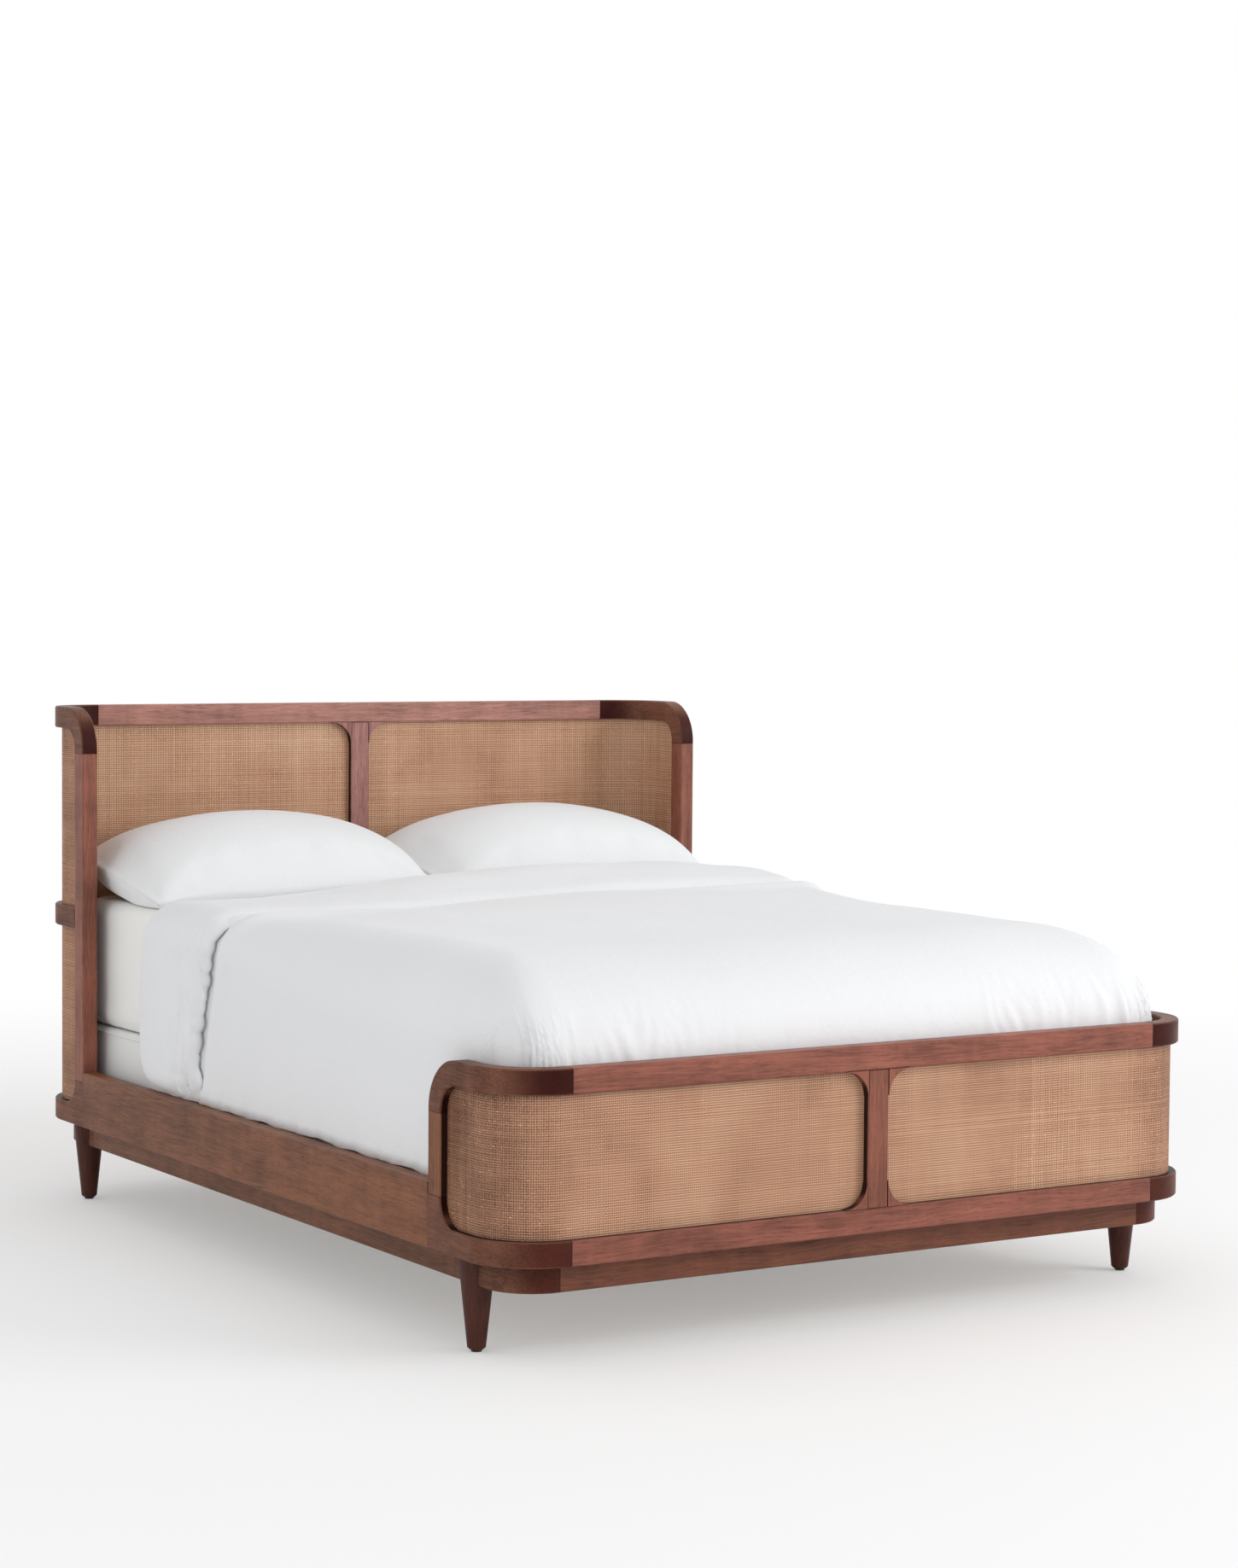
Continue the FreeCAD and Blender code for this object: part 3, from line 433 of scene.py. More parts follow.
cane_finish, cane_wire = new_finish("woven_cane")
cane_place = cane_wire.node("TexCoord", out="Object")
cane_tone = cane_wire.node("Attribute", {"attribute_name": "tone"}, out="Fac")
cane_across = cane_wire.node("Attribute", {"attribute_name": "across"}, out="Fac")
cane_patch = cane_wire.node("TexNoise", {}, {"Vector": cane_place, "Scale": 7.0, "Detail": 3.0})
cane_speck = cane_wire.node("TexNoise", {}, {"Vector": cane_place, "Scale": 420.0, "Detail": 2.0})
cane_level = cane_tone + (cane_patch - 0.5) * 0.6 + (cane_speck - 0.5) * 0.8
cane_colour = cane_wire.node(
    "ValToRGB",
    {"stops": [(0.08, CANE_DARK), (0.5, CANE_TAN), (0.95, CANE_LIGHT)]},
    {"Fac": cane_level},
)
# Painted shade: each strand darkens towards its edges, where it rounds over into the weave.
cane_colour = blend(between(abs(cane_across), 0.6, 1.0) * 0.45, cane_colour, CANE_DARK)
cane_round = 1 - cane_across * cane_across
coat(cane_wire, cane_colour, 0.5 + cane_speck * 0.15, cane_round, 0.0003)


def ramp(value, low, high):
    """0 under low, 1 over high and a smooth step between; low may be the larger."""
    share = np.clip((value - low) / (high - low), 0, 1)
    return share * share * (3 - 2 * share)


def billow(u, v, seed):
    """Smooth random heights of about -0.7 to 0.7: random slopes on a unit lattice, blended by a fade."""
    turns = np.random.default_rng(seed).uniform(0, 2 * np.pi, (128, 128))
    column = np.floor(u).astype(int)
    row = np.floor(v).astype(int)
    du, dv = u - column, v - row

    def slope(right, up):
        """A lattice corner's random slope, carried from there to the point."""
        turn = turns[(column + right) % 128, (row + up) % 128]
        return np.cos(turn) * (du - right) + np.sin(turn) * (dv - up)

    fade_u = du**3 * (du * (6 * du - 15) + 10)
    fade_v = dv**3 * (dv * (6 * dv - 15) + 10)
    lower = slope(0, 0) + fade_u * (slope(1, 0) - slope(0, 0))
    upper = slope(0, 1) + fade_u * (slope(1, 1) - slope(0, 1))
    return lower + fade_v * (upper - lower)


def round_the_corner(along, depth, bend, start):
    """A panel's plan: along it, straight from start past the corner's tangent point, round a quarter
    circle and straight up the side. Gives the distance out from the bed's middle sideways and
    endways, and the direction that the panel faces."""
    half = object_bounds()[1]
    radius = bend - depth
    straight = half.x - bend - start
    turn = np.clip((along - straight) / radius, 0, np.pi / 2)
    side_run = np.clip(along - straight - radius * np.pi / 2, 0, None)
    sideways = start + np.clip(along, None, straight) + radius * np.sin(turn)
    endways = half.y - depth - radius * (1 - np.cos(turn)) - side_run
    return sideways, endways, np.sin(turn), np.cos(turn)


def in_opening(along, up, length, low, high, coves):
    """True within a panel's opening, its coved corners included, and a seat's width into the grooves."""
    middle, half_up = (low + high) / 2, (high - low) / 2
    radius = np.where(up > middle, coves[1], coves[0])
    past_end = np.abs(along - length / 2) - length / 2 + radius
    past_rail = np.abs(up - middle) - half_up + radius
    corner = np.hypot(np.clip(past_end, 0, None), np.clip(past_rail, 0, None))
    inside = np.clip(np.maximum(past_end, past_rail), None, 0)
    return corner + inside - radius < SEAT


def woven(name, end, side, layer, bend, start, stop, low, high, coves, shade, bend_painted_shade, seed):
    """A panel's cane. Strands run up (warp) and along (weft) on a square mesh. At each crossing one
    passes over the other by the weave's rise, turn about, so a strand is a ribbon that zigzags
    through the crossings. Spacing, width and tone vary from strand to strand."""
    rng = np.random.default_rng(seed)
    depth = LAYER_DEPTH[layer]
    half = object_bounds()[1]
    radius = bend - depth
    length = half.x - bend - start + radius * np.pi / 2 + half.y - bend - stop
    up_count = int((high - low + 2 * SEAT) / PITCH)
    along_count = int((length + 2 * SEAT) / PITCH)
    along = np.linspace(-SEAT, length + SEAT, along_count) + rng.normal(0, SPACING_ERROR, along_count)
    up = np.linspace(low - SEAT, high + SEAT, up_count) + rng.normal(0, SPACING_ERROR, up_count)
    mesh_along, mesh_up = np.meshgrid(along, up, indexing="ij")
    mesh_along = mesh_along + MESH_WANDER * billow(mesh_along * 5, mesh_up * 9, seed)
    mesh_up = mesh_up + MESH_WANDER * billow(mesh_along * 9, mesh_up * 5, seed + 1)
    over = np.where(np.add.outer(np.arange(along_count), np.arange(up_count)) % 2, 1.0, -1.0)
    outwards = 1 if layer == "outer" else -1
    parts = []
    for strand_axis in (0, 1):
        count = (along_count, up_count)[1 - strand_axis]
        width = STRAND / 2 * rng.uniform(*WIDTH_VARIES, count)
        tone = shade + rng.normal(0, TONE_VARIES, count)
        close, wide = (14, 70)[strand_axis], (70, 14)[strand_axis]
        drift = TONE_DRIFT * billow(mesh_along * close, mesh_up * wide, seed + 7)
        across = np.array([-1.0, 1.0])
        spread = np.expand_dims(width, strand_axis)[..., None] * across
        lift = WEAVE_RISE * over * (1 if strand_axis == 0 else -1)
        at_along = mesh_along[..., None] + (spread if strand_axis == 1 else 0)
        at_up = mesh_up[..., None] + (spread if strand_axis == 0 else 0)
        at_along, at_up = np.broadcast_arrays(at_along, at_up)
        sideways, endways, face_x, face_y = round_the_corner(at_along, depth, bend, start)
        rise = outwards * lift[..., None]
        points = np.stack(
            [side * (sideways + rise * face_x), end * (endways + rise * face_y), at_up], -1
        )
        bend_start = half.x - bend - start
        round_bend = ramp(mesh_along, bend_start - BEND_ZONE[0], bend_start + BEND_ZONE[1])
        # Painted shade: the outer cane darkens as it turns round the bend.
        strand_tone = np.expand_dims(tone, strand_axis) + drift - bend_painted_shade * round_bend
        flecks = rng.random(strand_tone.shape) < FLECK_SHARE
        strand_tone = np.where(flecks, strand_tone + FLECK_LIGHT, strand_tone)
        index = np.arange(points[..., 0].size).reshape(points.shape[:3])
        ahead_of = np.take(index, np.arange(1, index.shape[strand_axis]), strand_axis)
        behind = np.take(index, np.arange(index.shape[strand_axis] - 1), strand_axis)
        quads = np.stack(
            [behind[..., 0], ahead_of[..., 0], ahead_of[..., 1], behind[..., 1]], -1
        ).reshape(-1, 4)
        middle_along = at_along.reshape(-1)[quads].mean(1)
        middle_up = at_up.reshape(-1)[quads].mean(1)
        quads = quads[in_opening(middle_along, middle_up, length, low, high, coves)]
        turned = (end * side * outwards > 0) != (strand_axis == 1)
        quads = quads[:, ::-1] if turned else quads
        flat_u = (at_along - at_along.min()) / np.ptp(at_along) * 0.49 + 0.5 * strand_axis
        flat_v = (at_up - at_up.min()) / np.ptp(at_up) * 0.98
        tones = np.broadcast_to(strand_tone[..., None], at_along.shape)
        acrosses = np.broadcast_to(across, at_along.shape)
        parts.append((points.reshape(-1, 3), quads, tones, acrosses, flat_u, flat_v))
    offset = len(parts[0][0])
    points = np.concatenate([part[0] for part in parts])
    quads = np.concatenate([parts[0][1], parts[1][1] + offset])
    used, quads = np.unique(quads, return_inverse=True)
    quads = quads.reshape(-1, 4)
    panel = new_piece(name, points[used], quads, cane_finish)
    columns = [np.concatenate([part[at].reshape(-1) for part in parts])[used] for at in range(2, 6)]
    tones, acrosses, *flat = (column.astype(np.float32) for column in columns)
    panel.data.attributes.new("tone", "FLOAT", "POINT").data.foreach_set("value", tones)
    panel.data.attributes.new("across", "FLOAT", "POINT").data.foreach_set("value", acrosses)
    corners = np.stack(flat, -1)[quads.reshape(-1)]
    panel.data.uv_layers.new(name="OFBake").data.foreach_set("uv", corners.ravel())
    return panel


stile_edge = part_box("headboard_centre_stile")[1].x
wing_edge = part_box("headboard_wing_stile_left")[1].y
foot_edge = -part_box("footboard_end_stile_left")[0].y
head = ("headboard_bottom_rail", "headboard_mid_rail_left", "headboard_top_rail")
bays = [
    ("headboard_lower", 1, HEAD_BEND, wing_edge, head[0], head[1], (COVE, SQUARE_CORNER)),
    ("headboard_upper", 1, HEAD_BEND, wing_edge, head[1], head[2], (SQUARE_CORNER, COVE)),
    ("footboard", -1, FOOT_BEND, foot_edge, "footboard_bottom_rail", "footboard_top_rail", (COVE, COVE)),
]
for number, (bay, end, bend, stop, rail_below, rail_above, coves) in enumerate(bays):
    low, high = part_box(rail_below)[1].z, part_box(rail_above)[0].z
    for side, side_name in ((-1, "left"), (1, "right")):
        for layer in LAYER_DEPTH:
            seed = 11 + 10 * number + 3 * side + len(layer) + (layer == "inner")
            name = f"cane_{bay}_{side_name}_{layer}"
            shade, bend_painted_shade = (INNER_LIT_TONE, 0.0) if layer == "inner" else (OUTER_TONE, BEND_PAINTED_SHADE[end])
            opening = (bend, stile_edge, stop, low, high, coves)
            panel = woven(name, end, side, layer, *opening, shade, bend_painted_shade, seed)
            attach(panel, "bed_frame")
            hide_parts(f"{bay.split('_')[0]}_{layer}_cane")


# Foundation: a low upholstered box that lies on the slats under the mattress. It is covered in a
# plain grey-white cloth, with a corded seam round its top and bottom edges.
FOUNDATION_CLOTH = linear(236, 237, 236)
FOUNDATION_CORNER = 0.045
FOUNDATION_EDGE = 0.009
EDGE_TURN = (0.40, 0.62)  # along the bed, from the foot's rounded edge to the head's
CORD_RADIUS = 0.0035
CORD_STEPS, CORD_SECTION = 48, 12
COVER_PULL = 0.003
COVER_BELLY = 0.002
COVER_DRIFT = 0.0012


def cotton(name, colour, thread, crinkle):
    """Woven cotton: a fine over-and-under of two waves at the thread's width, soft crinkles from
    noise, and a slow drift of tone."""
    finish, wire = new_finish(name)
    place = wire.node("TexCoord", out="Object")
    drift = wire.node("TexNoise", {}, {"Vector": place, "Scale": 2.5, "Detail": 3.0})
    crease = wire.node(
        "TexNoise", {}, {"Vector": place, "Scale": 55.0, "Detail": 4.0, "Distortion": 0.6}
    )
    slub = wire.node("TexNoise", {}, {"Vector": place, "Scale": 0.5 / thread, "Detail": 2.0})
    base = blend(drift, tint(colour, 0.97), tint(colour, 1.03))
    base = blend(slub * 0.25, base, tint(colour, 0.86))
    height = crease * crinkle + slub * 0.25
    coat(wire, base, 0.88, height, 0.0011, **{"Sheen Weight": 0.12, "Sheen Roughness": 0.5})
    return finish


def stations(low, high, rim, fine, coarse):
    """Places from low to high: closely spaced within a rim of each end, and coarsely between."""
    rim_count = int(round(rim / fine))
    near = np.linspace(0, rim, rim_count, endpoint=False)
    middle_count = max(2, int(round((high - low - 2 * rim) / coarse)) + 1)
    middle = np.linspace(low + rim, high - rim, middle_count)
    return np.concatenate([low + near, middle, (high - near)[::-1]])


def grid_quads(index, turned=False):
    """The quads of a grid of point numbers, in rows, or the same quads turned over."""
    corners = [index[:-1, :-1], index[1:, :-1], index[1:, 1:], index[:-1, 1:]]
    if turned:
        corners = [corners[0], *corners[:0:-1]]
    return np.stack(corners, -1).reshape(-1, 4)


def upholstered(low, high, corner, edge, edge_turn, rim, fine, coarse):
    """A box with its upright corners rounded in plan and its top and bottom edges rounded too: each
    side is a grid, and a point in a rounded zone is drawn in from the square to the circle. The edge's
    radius is given for the foot and the head. Gives points, quads and the way each faces in plan,
    which grows from nothing on the flat top to full length on the sides."""
    low, high = np.array(low), np.array(high)
    middle, half = (low + high) / 2, (high - low) / 2
    lines = [stations(-half[axis], half[axis], rim, fine, coarse) for axis in range(3)]
    points, quads, count = [], [], 0
    for axis in range(3):
        first, second = (axis + 1) % 3, (axis + 2) % 3
        for sign in (-1, 1):
            grid = np.meshgrid(lines[first], lines[second], indexing="ij")
            face = np.zeros((*grid[0].shape, 3))
            face[..., first], face[..., second], face[..., axis] = grid[0], grid[1], sign * half[axis]
            index = count + np.arange(grid[0].size).reshape(grid[0].shape)
            quads.append(grid_quads(index)[:, ::sign])
            points.append(face.reshape(-1, 3))
            count += grid[0].size
    points = np.concatenate(points)
    _, kept, place = np.unique(np.round(points, 6), axis=0, return_index=True, return_inverse=True)
    points, quads = points[kept], place.reshape(-1)[np.concatenate(quads)]
    core = np.clip(points[:, :2], corner - half[:2], half[:2] - corner)
    out = points[:, :2] - core
    reach = np.abs(out).max(1)
    facing = out / np.maximum(np.hypot(out[:, 0], out[:, 1]), 1e-9)[:, None]
    plan = core + facing * reach[:, None]
    from_side = (half[:2] - np.abs(points[:, :2])).min(1)
    from_top = half[2] - np.abs(points[:, 2])
    edge = edge[0] + (edge[1] - edge[0]) * ramp(points[:, 1] + middle[1], *edge_turn)
    side_part = np.clip(edge - from_side, 0, None)
    top_part = np.clip(edge - from_top, 0, None)
    shrink = edge / np.maximum(np.hypot(side_part, top_part), 1e-9)
    rounded = (side_part > 0) & (top_part > 0)
    inwards = np.where(rounded, side_part * (1 - shrink), 0)
    downwards = np.where(rounded, top_part * (1 - shrink), 0)
    plan = plan - facing * inwards[:, None]
    upright = np.sign(points[:, 2]) * (np.abs(points[:, 2]) - downwards)
    facing = facing * np.clip(2.5 * reach / corner, 0, 1)[:, None]
    return np.column_stack([plan, upright]) + middle, quads, facing


def corded_seam(low, high, corner, height, radius):
    """A cord sewn round a block: a small circle carried round a rectangle with rounded corners."""
    turn = np.linspace(0, 2 * np.pi, CORD_STEPS + 1)[:-1]
    spare = np.array([(low[0] + corner, high[0] - corner), (low[1] + corner, high[1] - corner)])
    side_x = np.where(np.cos(turn) >= 0, spare[0, 1], spare[0, 0])
    side_y = np.where(np.sin(turn) >= 0, spare[1, 1], spare[1, 0])
    out = np.column_stack([np.cos(turn), np.sin(turn)])
    path = np.column_stack([side_x, side_y]) + corner * out
    ring = np.linspace(0, 2 * np.pi, CORD_SECTION + 1)[:-1]
    plan = path[:, None, :] + radius * np.cos(ring)[None, :, None] * out[:, None, :]
    upright = np.broadcast_to(height + radius * np.sin(ring), plan.shape[:2])
    points = np.concatenate([plan, upright[..., None]], -1)
    index = np.arange(plan.shape[0] * plan.shape[1]).reshape(plan.shape[:2])
    return points.reshape(-1, 3), grid_quads(np.pad(index, ((0, 1), (0, 1)), "wrap"))


foundation_finish = cotton("foundation_cloth", FOUNDATION_CLOTH, thread=0.0011, crinkle=0.5)
low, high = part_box("foundation")
edges = (FOUNDATION_EDGE, FOUNDATION_EDGE)
points, quads, facing = upholstered(
    low, high, FOUNDATION_CORNER, edges, EDGE_TURN, rim=0.06, fine=0.008, coarse=0.03
)
middle_up = (low.z + high.z) / 2
belly = 1 - ((points[:, 2] - middle_up) / (high.z - middle_up)) ** 2
run = points[:, 1] * np.abs(facing[:, 0]) + points[:, 0] * np.abs(facing[:, 1])
pull = COVER_BELLY * belly - COVER_PULL + COVER_DRIFT * billow(run * 7, points[:, 2] * 9, 31)
points[:, :2] += facing * pull[:, None]
foundation = new_piece("foundation_cover", points, quads, foundation_finish)
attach(foundation, "foundation")
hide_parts("foundation")
for name, height in (("top", high.z - FOUNDATION_EDGE), ("bottom", low.z + FOUNDATION_EDGE)):
    points, quads = corded_seam(low, high, FOUNDATION_CORNER, height, CORD_RADIUS)
    points[:, :2] *= 1 - COVER_PULL / high.x
    cord = new_piece(f"foundation_{name}_cord", points, quads, foundation_finish)
    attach(cord, "foundation")


# Mattress: a sprung mattress in a fitted white cotton sheet. Its edges are soft, its sides pull in a
# little between the corners, and the sheet puckers where its elastic draws it under.
MATTRESS_WHITE = linear(244, 244, 241)
MATTRESS_CORNER = 0.115
MATTRESS_EDGE = (0.110, 0.034)  # at the foot and at the head
SHEET_PULL = 0.0045
SHEET_SLACK = 0.004
SHEET_PUCKER = 0.0035
SHEET_DRIFT = 0.0025
CORNER_SAG = 0.028
mattress_finish = cotton("mattress_cloth", MATTRESS_WHITE, thread=0.0007, crinkle=0.7)
low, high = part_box("mattress")
points, quads, facing = upholstered(
    low, high, MATTRESS_CORNER, MATTRESS_EDGE, EDGE_TURN, rim=0.12, fine=0.008, coarse=0.022
)
up_share = (points[:, 2] - low.z) / (high.z - low.z)
run = points[:, 1] * np.abs(facing[:, 0]) + points[:, 0] * np.abs(facing[:, 1])
half_run = np.where(np.abs(facing[:, 0]) > np.abs(facing[:, 1]), high.y, high.x)
slack = 1 - np.clip(np.abs(run) / half_run, 0, 1) ** 2
puckers = np.exp(-((up_share / 0.22) ** 2)) * SHEET_PUCKER * billow(run * 38, up_share * 2.0, 41)
soft = SHEET_DRIFT * billow(run * 5, up_share * 2.5, 42)
points[:, :2] += facing * (-SHEET_PULL - SHEET_SLACK * slack + puckers + soft)[:, None]
foot_corners = ramp(np.abs(points[:, 0]), 0.60, 0.74) * ramp(points[:, 1], -0.82, -0.97)
points[:, 2] -= CORNER_SAG * foot_corners * up_share**4
mattress = new_piece("mattress_sheet", points, quads, mattress_finish)
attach(mattress, "mattress")
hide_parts("mattress")
mattress_top = high.z


# Pillows: feather pillows in white cotton cases, side by side against the headboard. A crowned case,
# drawn in between its corners, is blown up by cloth simulation, which fills it and gathers its seam.
# Its sewn rim stands out a little. The pillow is then tilted back and pressed flat on the mattress.
PILLOW_WHITE = linear(236, 237, 238)
PILLOW_STEP = 0.013
PILLOW_ROOM = (0.742, 0.440, 0.205)
PILLOW_FULLNESS = 0.80
PILLOW_PRESSURE = 3.0
PILLOW_FRAMES = 20
PILLOW_CAP = 0.012
PILLOW_TILT = math.radians(8)
PILLOW_DROOP = 0.026
PILLOW_END_DROP = 0.022
PILLOW_LUMPS = 0.005
PILLOW_CLEAR = 0.001
RIM_PUCKER = (0.005, 0.025)  # height and spacing
RIM_STAND = 0.010
RIM_CREASE = 0.7


def sewn_case(width, depth, thick, step):
    """Two crowned sheets on one grid, sewn together round the rim. The plan's corners are rounded by
    drawing each axis in with the square of the other, its sides are drawn in between the corners,
    and the crown falls to the rim as an ellipse across and as a slimmer arch along. The belly under
    it is fuller near the rim, as the pillow's weight pushes it out. Gives points, quads and which
    points lie on the sewn rim."""
    across, along = int(width / step) + 1, int(depth / step) + 1
    spread_u = np.sin(np.linspace(-1.35, 1.35, across)) / math.sin(1.35)
    spread_v = np.sin(np.linspace(-1.3, 1.3, along)) / math.sin(1.3)
    u, v = np.meshgrid(spread_u, spread_v, indexing="ij")
    x = width / 2 * u * np.sqrt(1 - 0.16 * v**2) * (1 - 0.035 * (1 - v**2) * u**2)
    y = depth / 2 * v * np.sqrt(1 - 0.20 * u**2) * (1 - 0.06 * (1 - u**2) * v**2)
    lens = np.clip(1 - u**2, 0, None) ** 0.80 * np.clip(1 - v**2, 0, None) ** 0.5
    crown = 0.93 * lens + 0.07 * np.sqrt((1 - u**4) * (1 - v**4))
    belly = np.clip(1 - u**2, 0, None) ** 0.20 * np.clip(1 - v**2, 0, None) ** 0.32
    upper = np.stack([x, y, thick / 2 * crown], -1).reshape(-1, 3)
    lower = np.stack([x, y, -thick / 2 * belly], -1).reshape(-1, 3)
    index = np.arange(upper.shape[0]).reshape(across, along)
    rim = np.zeros(index.shape, bool)
    rim[[0, -1], :] = True
    rim[:, [0, -1]] = True
    below = np.where(rim, index, index + upper.shape[0])
    quads = np.concatenate([grid_quads(index), grid_quads(below, turned=True)])
    used, quads = np.unique(quads, return_inverse=True)
    return np.concatenate([upper, lower])[used], quads.reshape(-1, 4), np.isin(used, index[rim])


def simulated(points, quads, frames, groups, **settings):
    """How far each point moves in a cloth simulation with no weight on it, given the cloth's settings.
    Groups name sets of vertices and give each point's share in them, held in tenths."""
    piece = new_piece("cloth_in_motion", points, quads, mattress_finish)
    for name, share in groups.items():
        group = piece.vertex_groups.new(name=name)
        tenths = np.round(share * 10)
        for level in range(1, 11):
            group.add(np.flatnonzero(tenths == level).tolist(), level / 10, "REPLACE")
    cloth = piece.modifiers.new("cloth", "CLOTH")
    cloth.settings.effector_weights.gravity = 0
    for name, setting in settings.items():
        setattr(cloth.settings, name, setting)
    cloth.point_cache.frame_end = frames
    for moment in range(1, frames + 1):
        scene.frame_set(moment)
    settled = piece.evaluated_get(bpy.context.evaluated_depsgraph_get())
    result = np.zeros(len(points) * 3, np.float32)
    settled.data.vertices.foreach_get("co", result)
    mesh = piece.data
    bpy.data.objects.remove(piece)
    bpy.data.meshes.remove(mesh)
    scene.frame_set(1)
    return result.reshape(-1, 3).astype(float) - points


pillow_finish = cotton("pillow_cloth", PILLOW_WHITE, thread=0.0007, crinkle=0.8)
case_points, case_quads, on_rim = sewn_case(
    PILLOW_ROOM[0], PILLOW_ROOM[1], PILLOW_FULLNESS * PILLOW_ROOM[2], PILLOW_STEP
)
blown = simulated(
    case_points,
    case_quads,
    PILLOW_FRAMES,
    {},
    use_pressure=True,
    uniform_pressure_force=PILLOW_PRESSURE,
    quality=6,
)
distance = np.maximum(np.linalg.norm(blown, axis=1, keepdims=True), 1e-9)
case_points = case_points + blown * np.minimum(1, PILLOW_CAP / distance)
case_points = case_points / np.ptp(case_points, axis=0) * PILLOW_ROOM
end_share = np.abs(case_points[:, 0]) / (PILLOW_ROOM[0] / 2)
case_points[:, 2] -= PILLOW_END_DROP * end_share**4
pucker = billow(case_points[:, 0] / RIM_PUCKER[1], case_points[:, 1] / RIM_PUCKER[1], 55)
case_points[:, 2] += np.where(on_rim, RIM_PUCKER[0] * pucker, 0)
case_points[:, :2] *= np.where(on_rim, 1 + RIM_STAND / PILLOW_ROOM[1], 1)[:, None]
for side, name in ((-1, "left"), (1, "right")):
    low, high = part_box(f"pillow_{name}")
    rest = mattress_top + PILLOW_CLEAR
    shape = case_points * (-side, 1, 1)
    quads = case_quads[:, ::-1] if side > 0 else case_quads
    shape[:, 2] += PILLOW_LUMPS * billow(shape[:, 0] * 4 + 3 * side, shape[:, 1] * 5, 51 + side)
    shape[:, 2] -= PILLOW_DROOP * np.clip(-shape[:, 1] / (PILLOW_ROOM[1] / 2), 0, 1) ** 2
    turned = shape.copy()
    turned[:, 1] = shape[:, 1] * math.cos(PILLOW_TILT) - shape[:, 2] * math.sin(PILLOW_TILT)
    turned[:, 2] = shape[:, 1] * math.sin(PILLOW_TILT) + shape[:, 2] * math.cos(PILLOW_TILT)
    turned += ((low.x + high.x) / 2, (low.y + high.y) / 2, high.z - turned[:, 2].max())
    turned[:, 2] = np.maximum(turned[:, 2], rest)
    pillow = new_piece(f"pillow_{name}_case", turned, quads, pillow_finish)
    ends_of = np.zeros(len(pillow.data.edges) * 2, np.int32)
    pillow.data.edges.foreach_get("vertices", ends_of)
    sewn = on_rim[ends_of.reshape(-1, 2)].all(1)
    crease = pillow.data.attributes.new("crease_edge", "FLOAT", "EDGE")
    crease.data.foreach_set("value", RIM_CREASE * sewn.astype(np.float32))
    smoother = pillow.modifiers.new("fine", "SUBSURF")
    smoother.levels = smoother.render_levels = 1
    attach(pillow, f"pillow_{name}")
    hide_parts(f"pillow_{name}")


# Duvet: a filled quilt in a white cotton cover, spread over the mattress. Its sides hang to the side
# rails, its foot is tucked down behind the footboard, and its head end is turned back over itself.
# It is laid over the bed by formula, then cloth simulation gathers the slack at its foot and hem.
DUVET_WHITE = linear(236, 237, 239)
SIDE_SHOULDER = 0.165
HEAD_SHOULDER = 0.070
FOOT_SHOULDER = 0.300
FOOT_FALL = 0.210
FOOT_POWER = 2.3
CORNER_POWER = 4.0
DRAPE = 0.50
LINING_GAP = 0.0115
FOLD_BACK = 0.340
FOLD_LEAN = 0.070
HEAD_ROLL = 0.026
ACROSS_STEPS, ALONG_STEPS = (0.0170, 0.0112), (0.0150, 0.0075)  # coarse, and how much less where fine
# Waves in the cloth: the height, width, length and seed of each.
TOP_WAVES = ((0.006, 0.42, 0.36, 61), (0.0025, 0.17, 0.2, 62))
SIDE_FOLDS = ((0.005, 0.2, 0.5, 63), (0.002, 0.08, 0.3, 64))
HEM_ZONE = 0.03
HEM_FRILL, HEM_DROP = (0.012, 0.006), (0.0055, 0.004)  # the steady part and the wavy part
TUCK = (-0.30, 0.045, 0.003)  # place along the bed, width and height
FOLD_DEPTH = 0.014
PUFF = (0.012, 0.050, 0.030)  # height, distance from the hem, and width
GROOVE = (0.006, 0.016)  # depth and width
# Gathers at the foot: the middle and the width of each cluster, across the bed.
GATHERS_LEFT = ((-0.74, 0.05), (-0.63, 0.035), (-0.52, 0.05), (-0.41, 0.03))
GATHERS_RIGHT = ((0.37, 0.05), (0.50, 0.03), (0.62, 0.04), (0.73, 0.05))
GATHER_GROWTH = 0.55
GATHER_FRAMES = 18
SIDE_SLIP = 0.012
REACH_OUT, REACH_IN, REACH_BY_RAIL = 0.014, 0.009, 0.006
FOOT_FILL, FOOT_SINK = 0.014, 0.011
HEAD_RIM_OUT, HEM_RIM_DOWN = 0.008, 0.004
duvet_low, duvet_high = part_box("duvet")
duvet_half = 0.776
duvet_top = 0.7239
duvet_head = duvet_high.y - HEAD_ROLL
duvet_foot = duvet_low.y
duvet_hem = duvet_low.z
core_half = duvet_half - SIDE_SHOULDER
core_foot = duvet_foot + FOOT_SHOULDER


def pressed(x, y):
    """How far the quilt's top lies under its full height: it is thinner before the turned-back end,
    on the left, and a little thinner towards its sides."""
    thin_left = 0.017 * ramp(-x, -0.25, 0.35) * ramp(y, -0.15, 0.2)
    return thin_left + 0.004 * ramp(np.abs(x), 0.4, 0.7) * (1 - ramp(y, -0.15, 0.2))


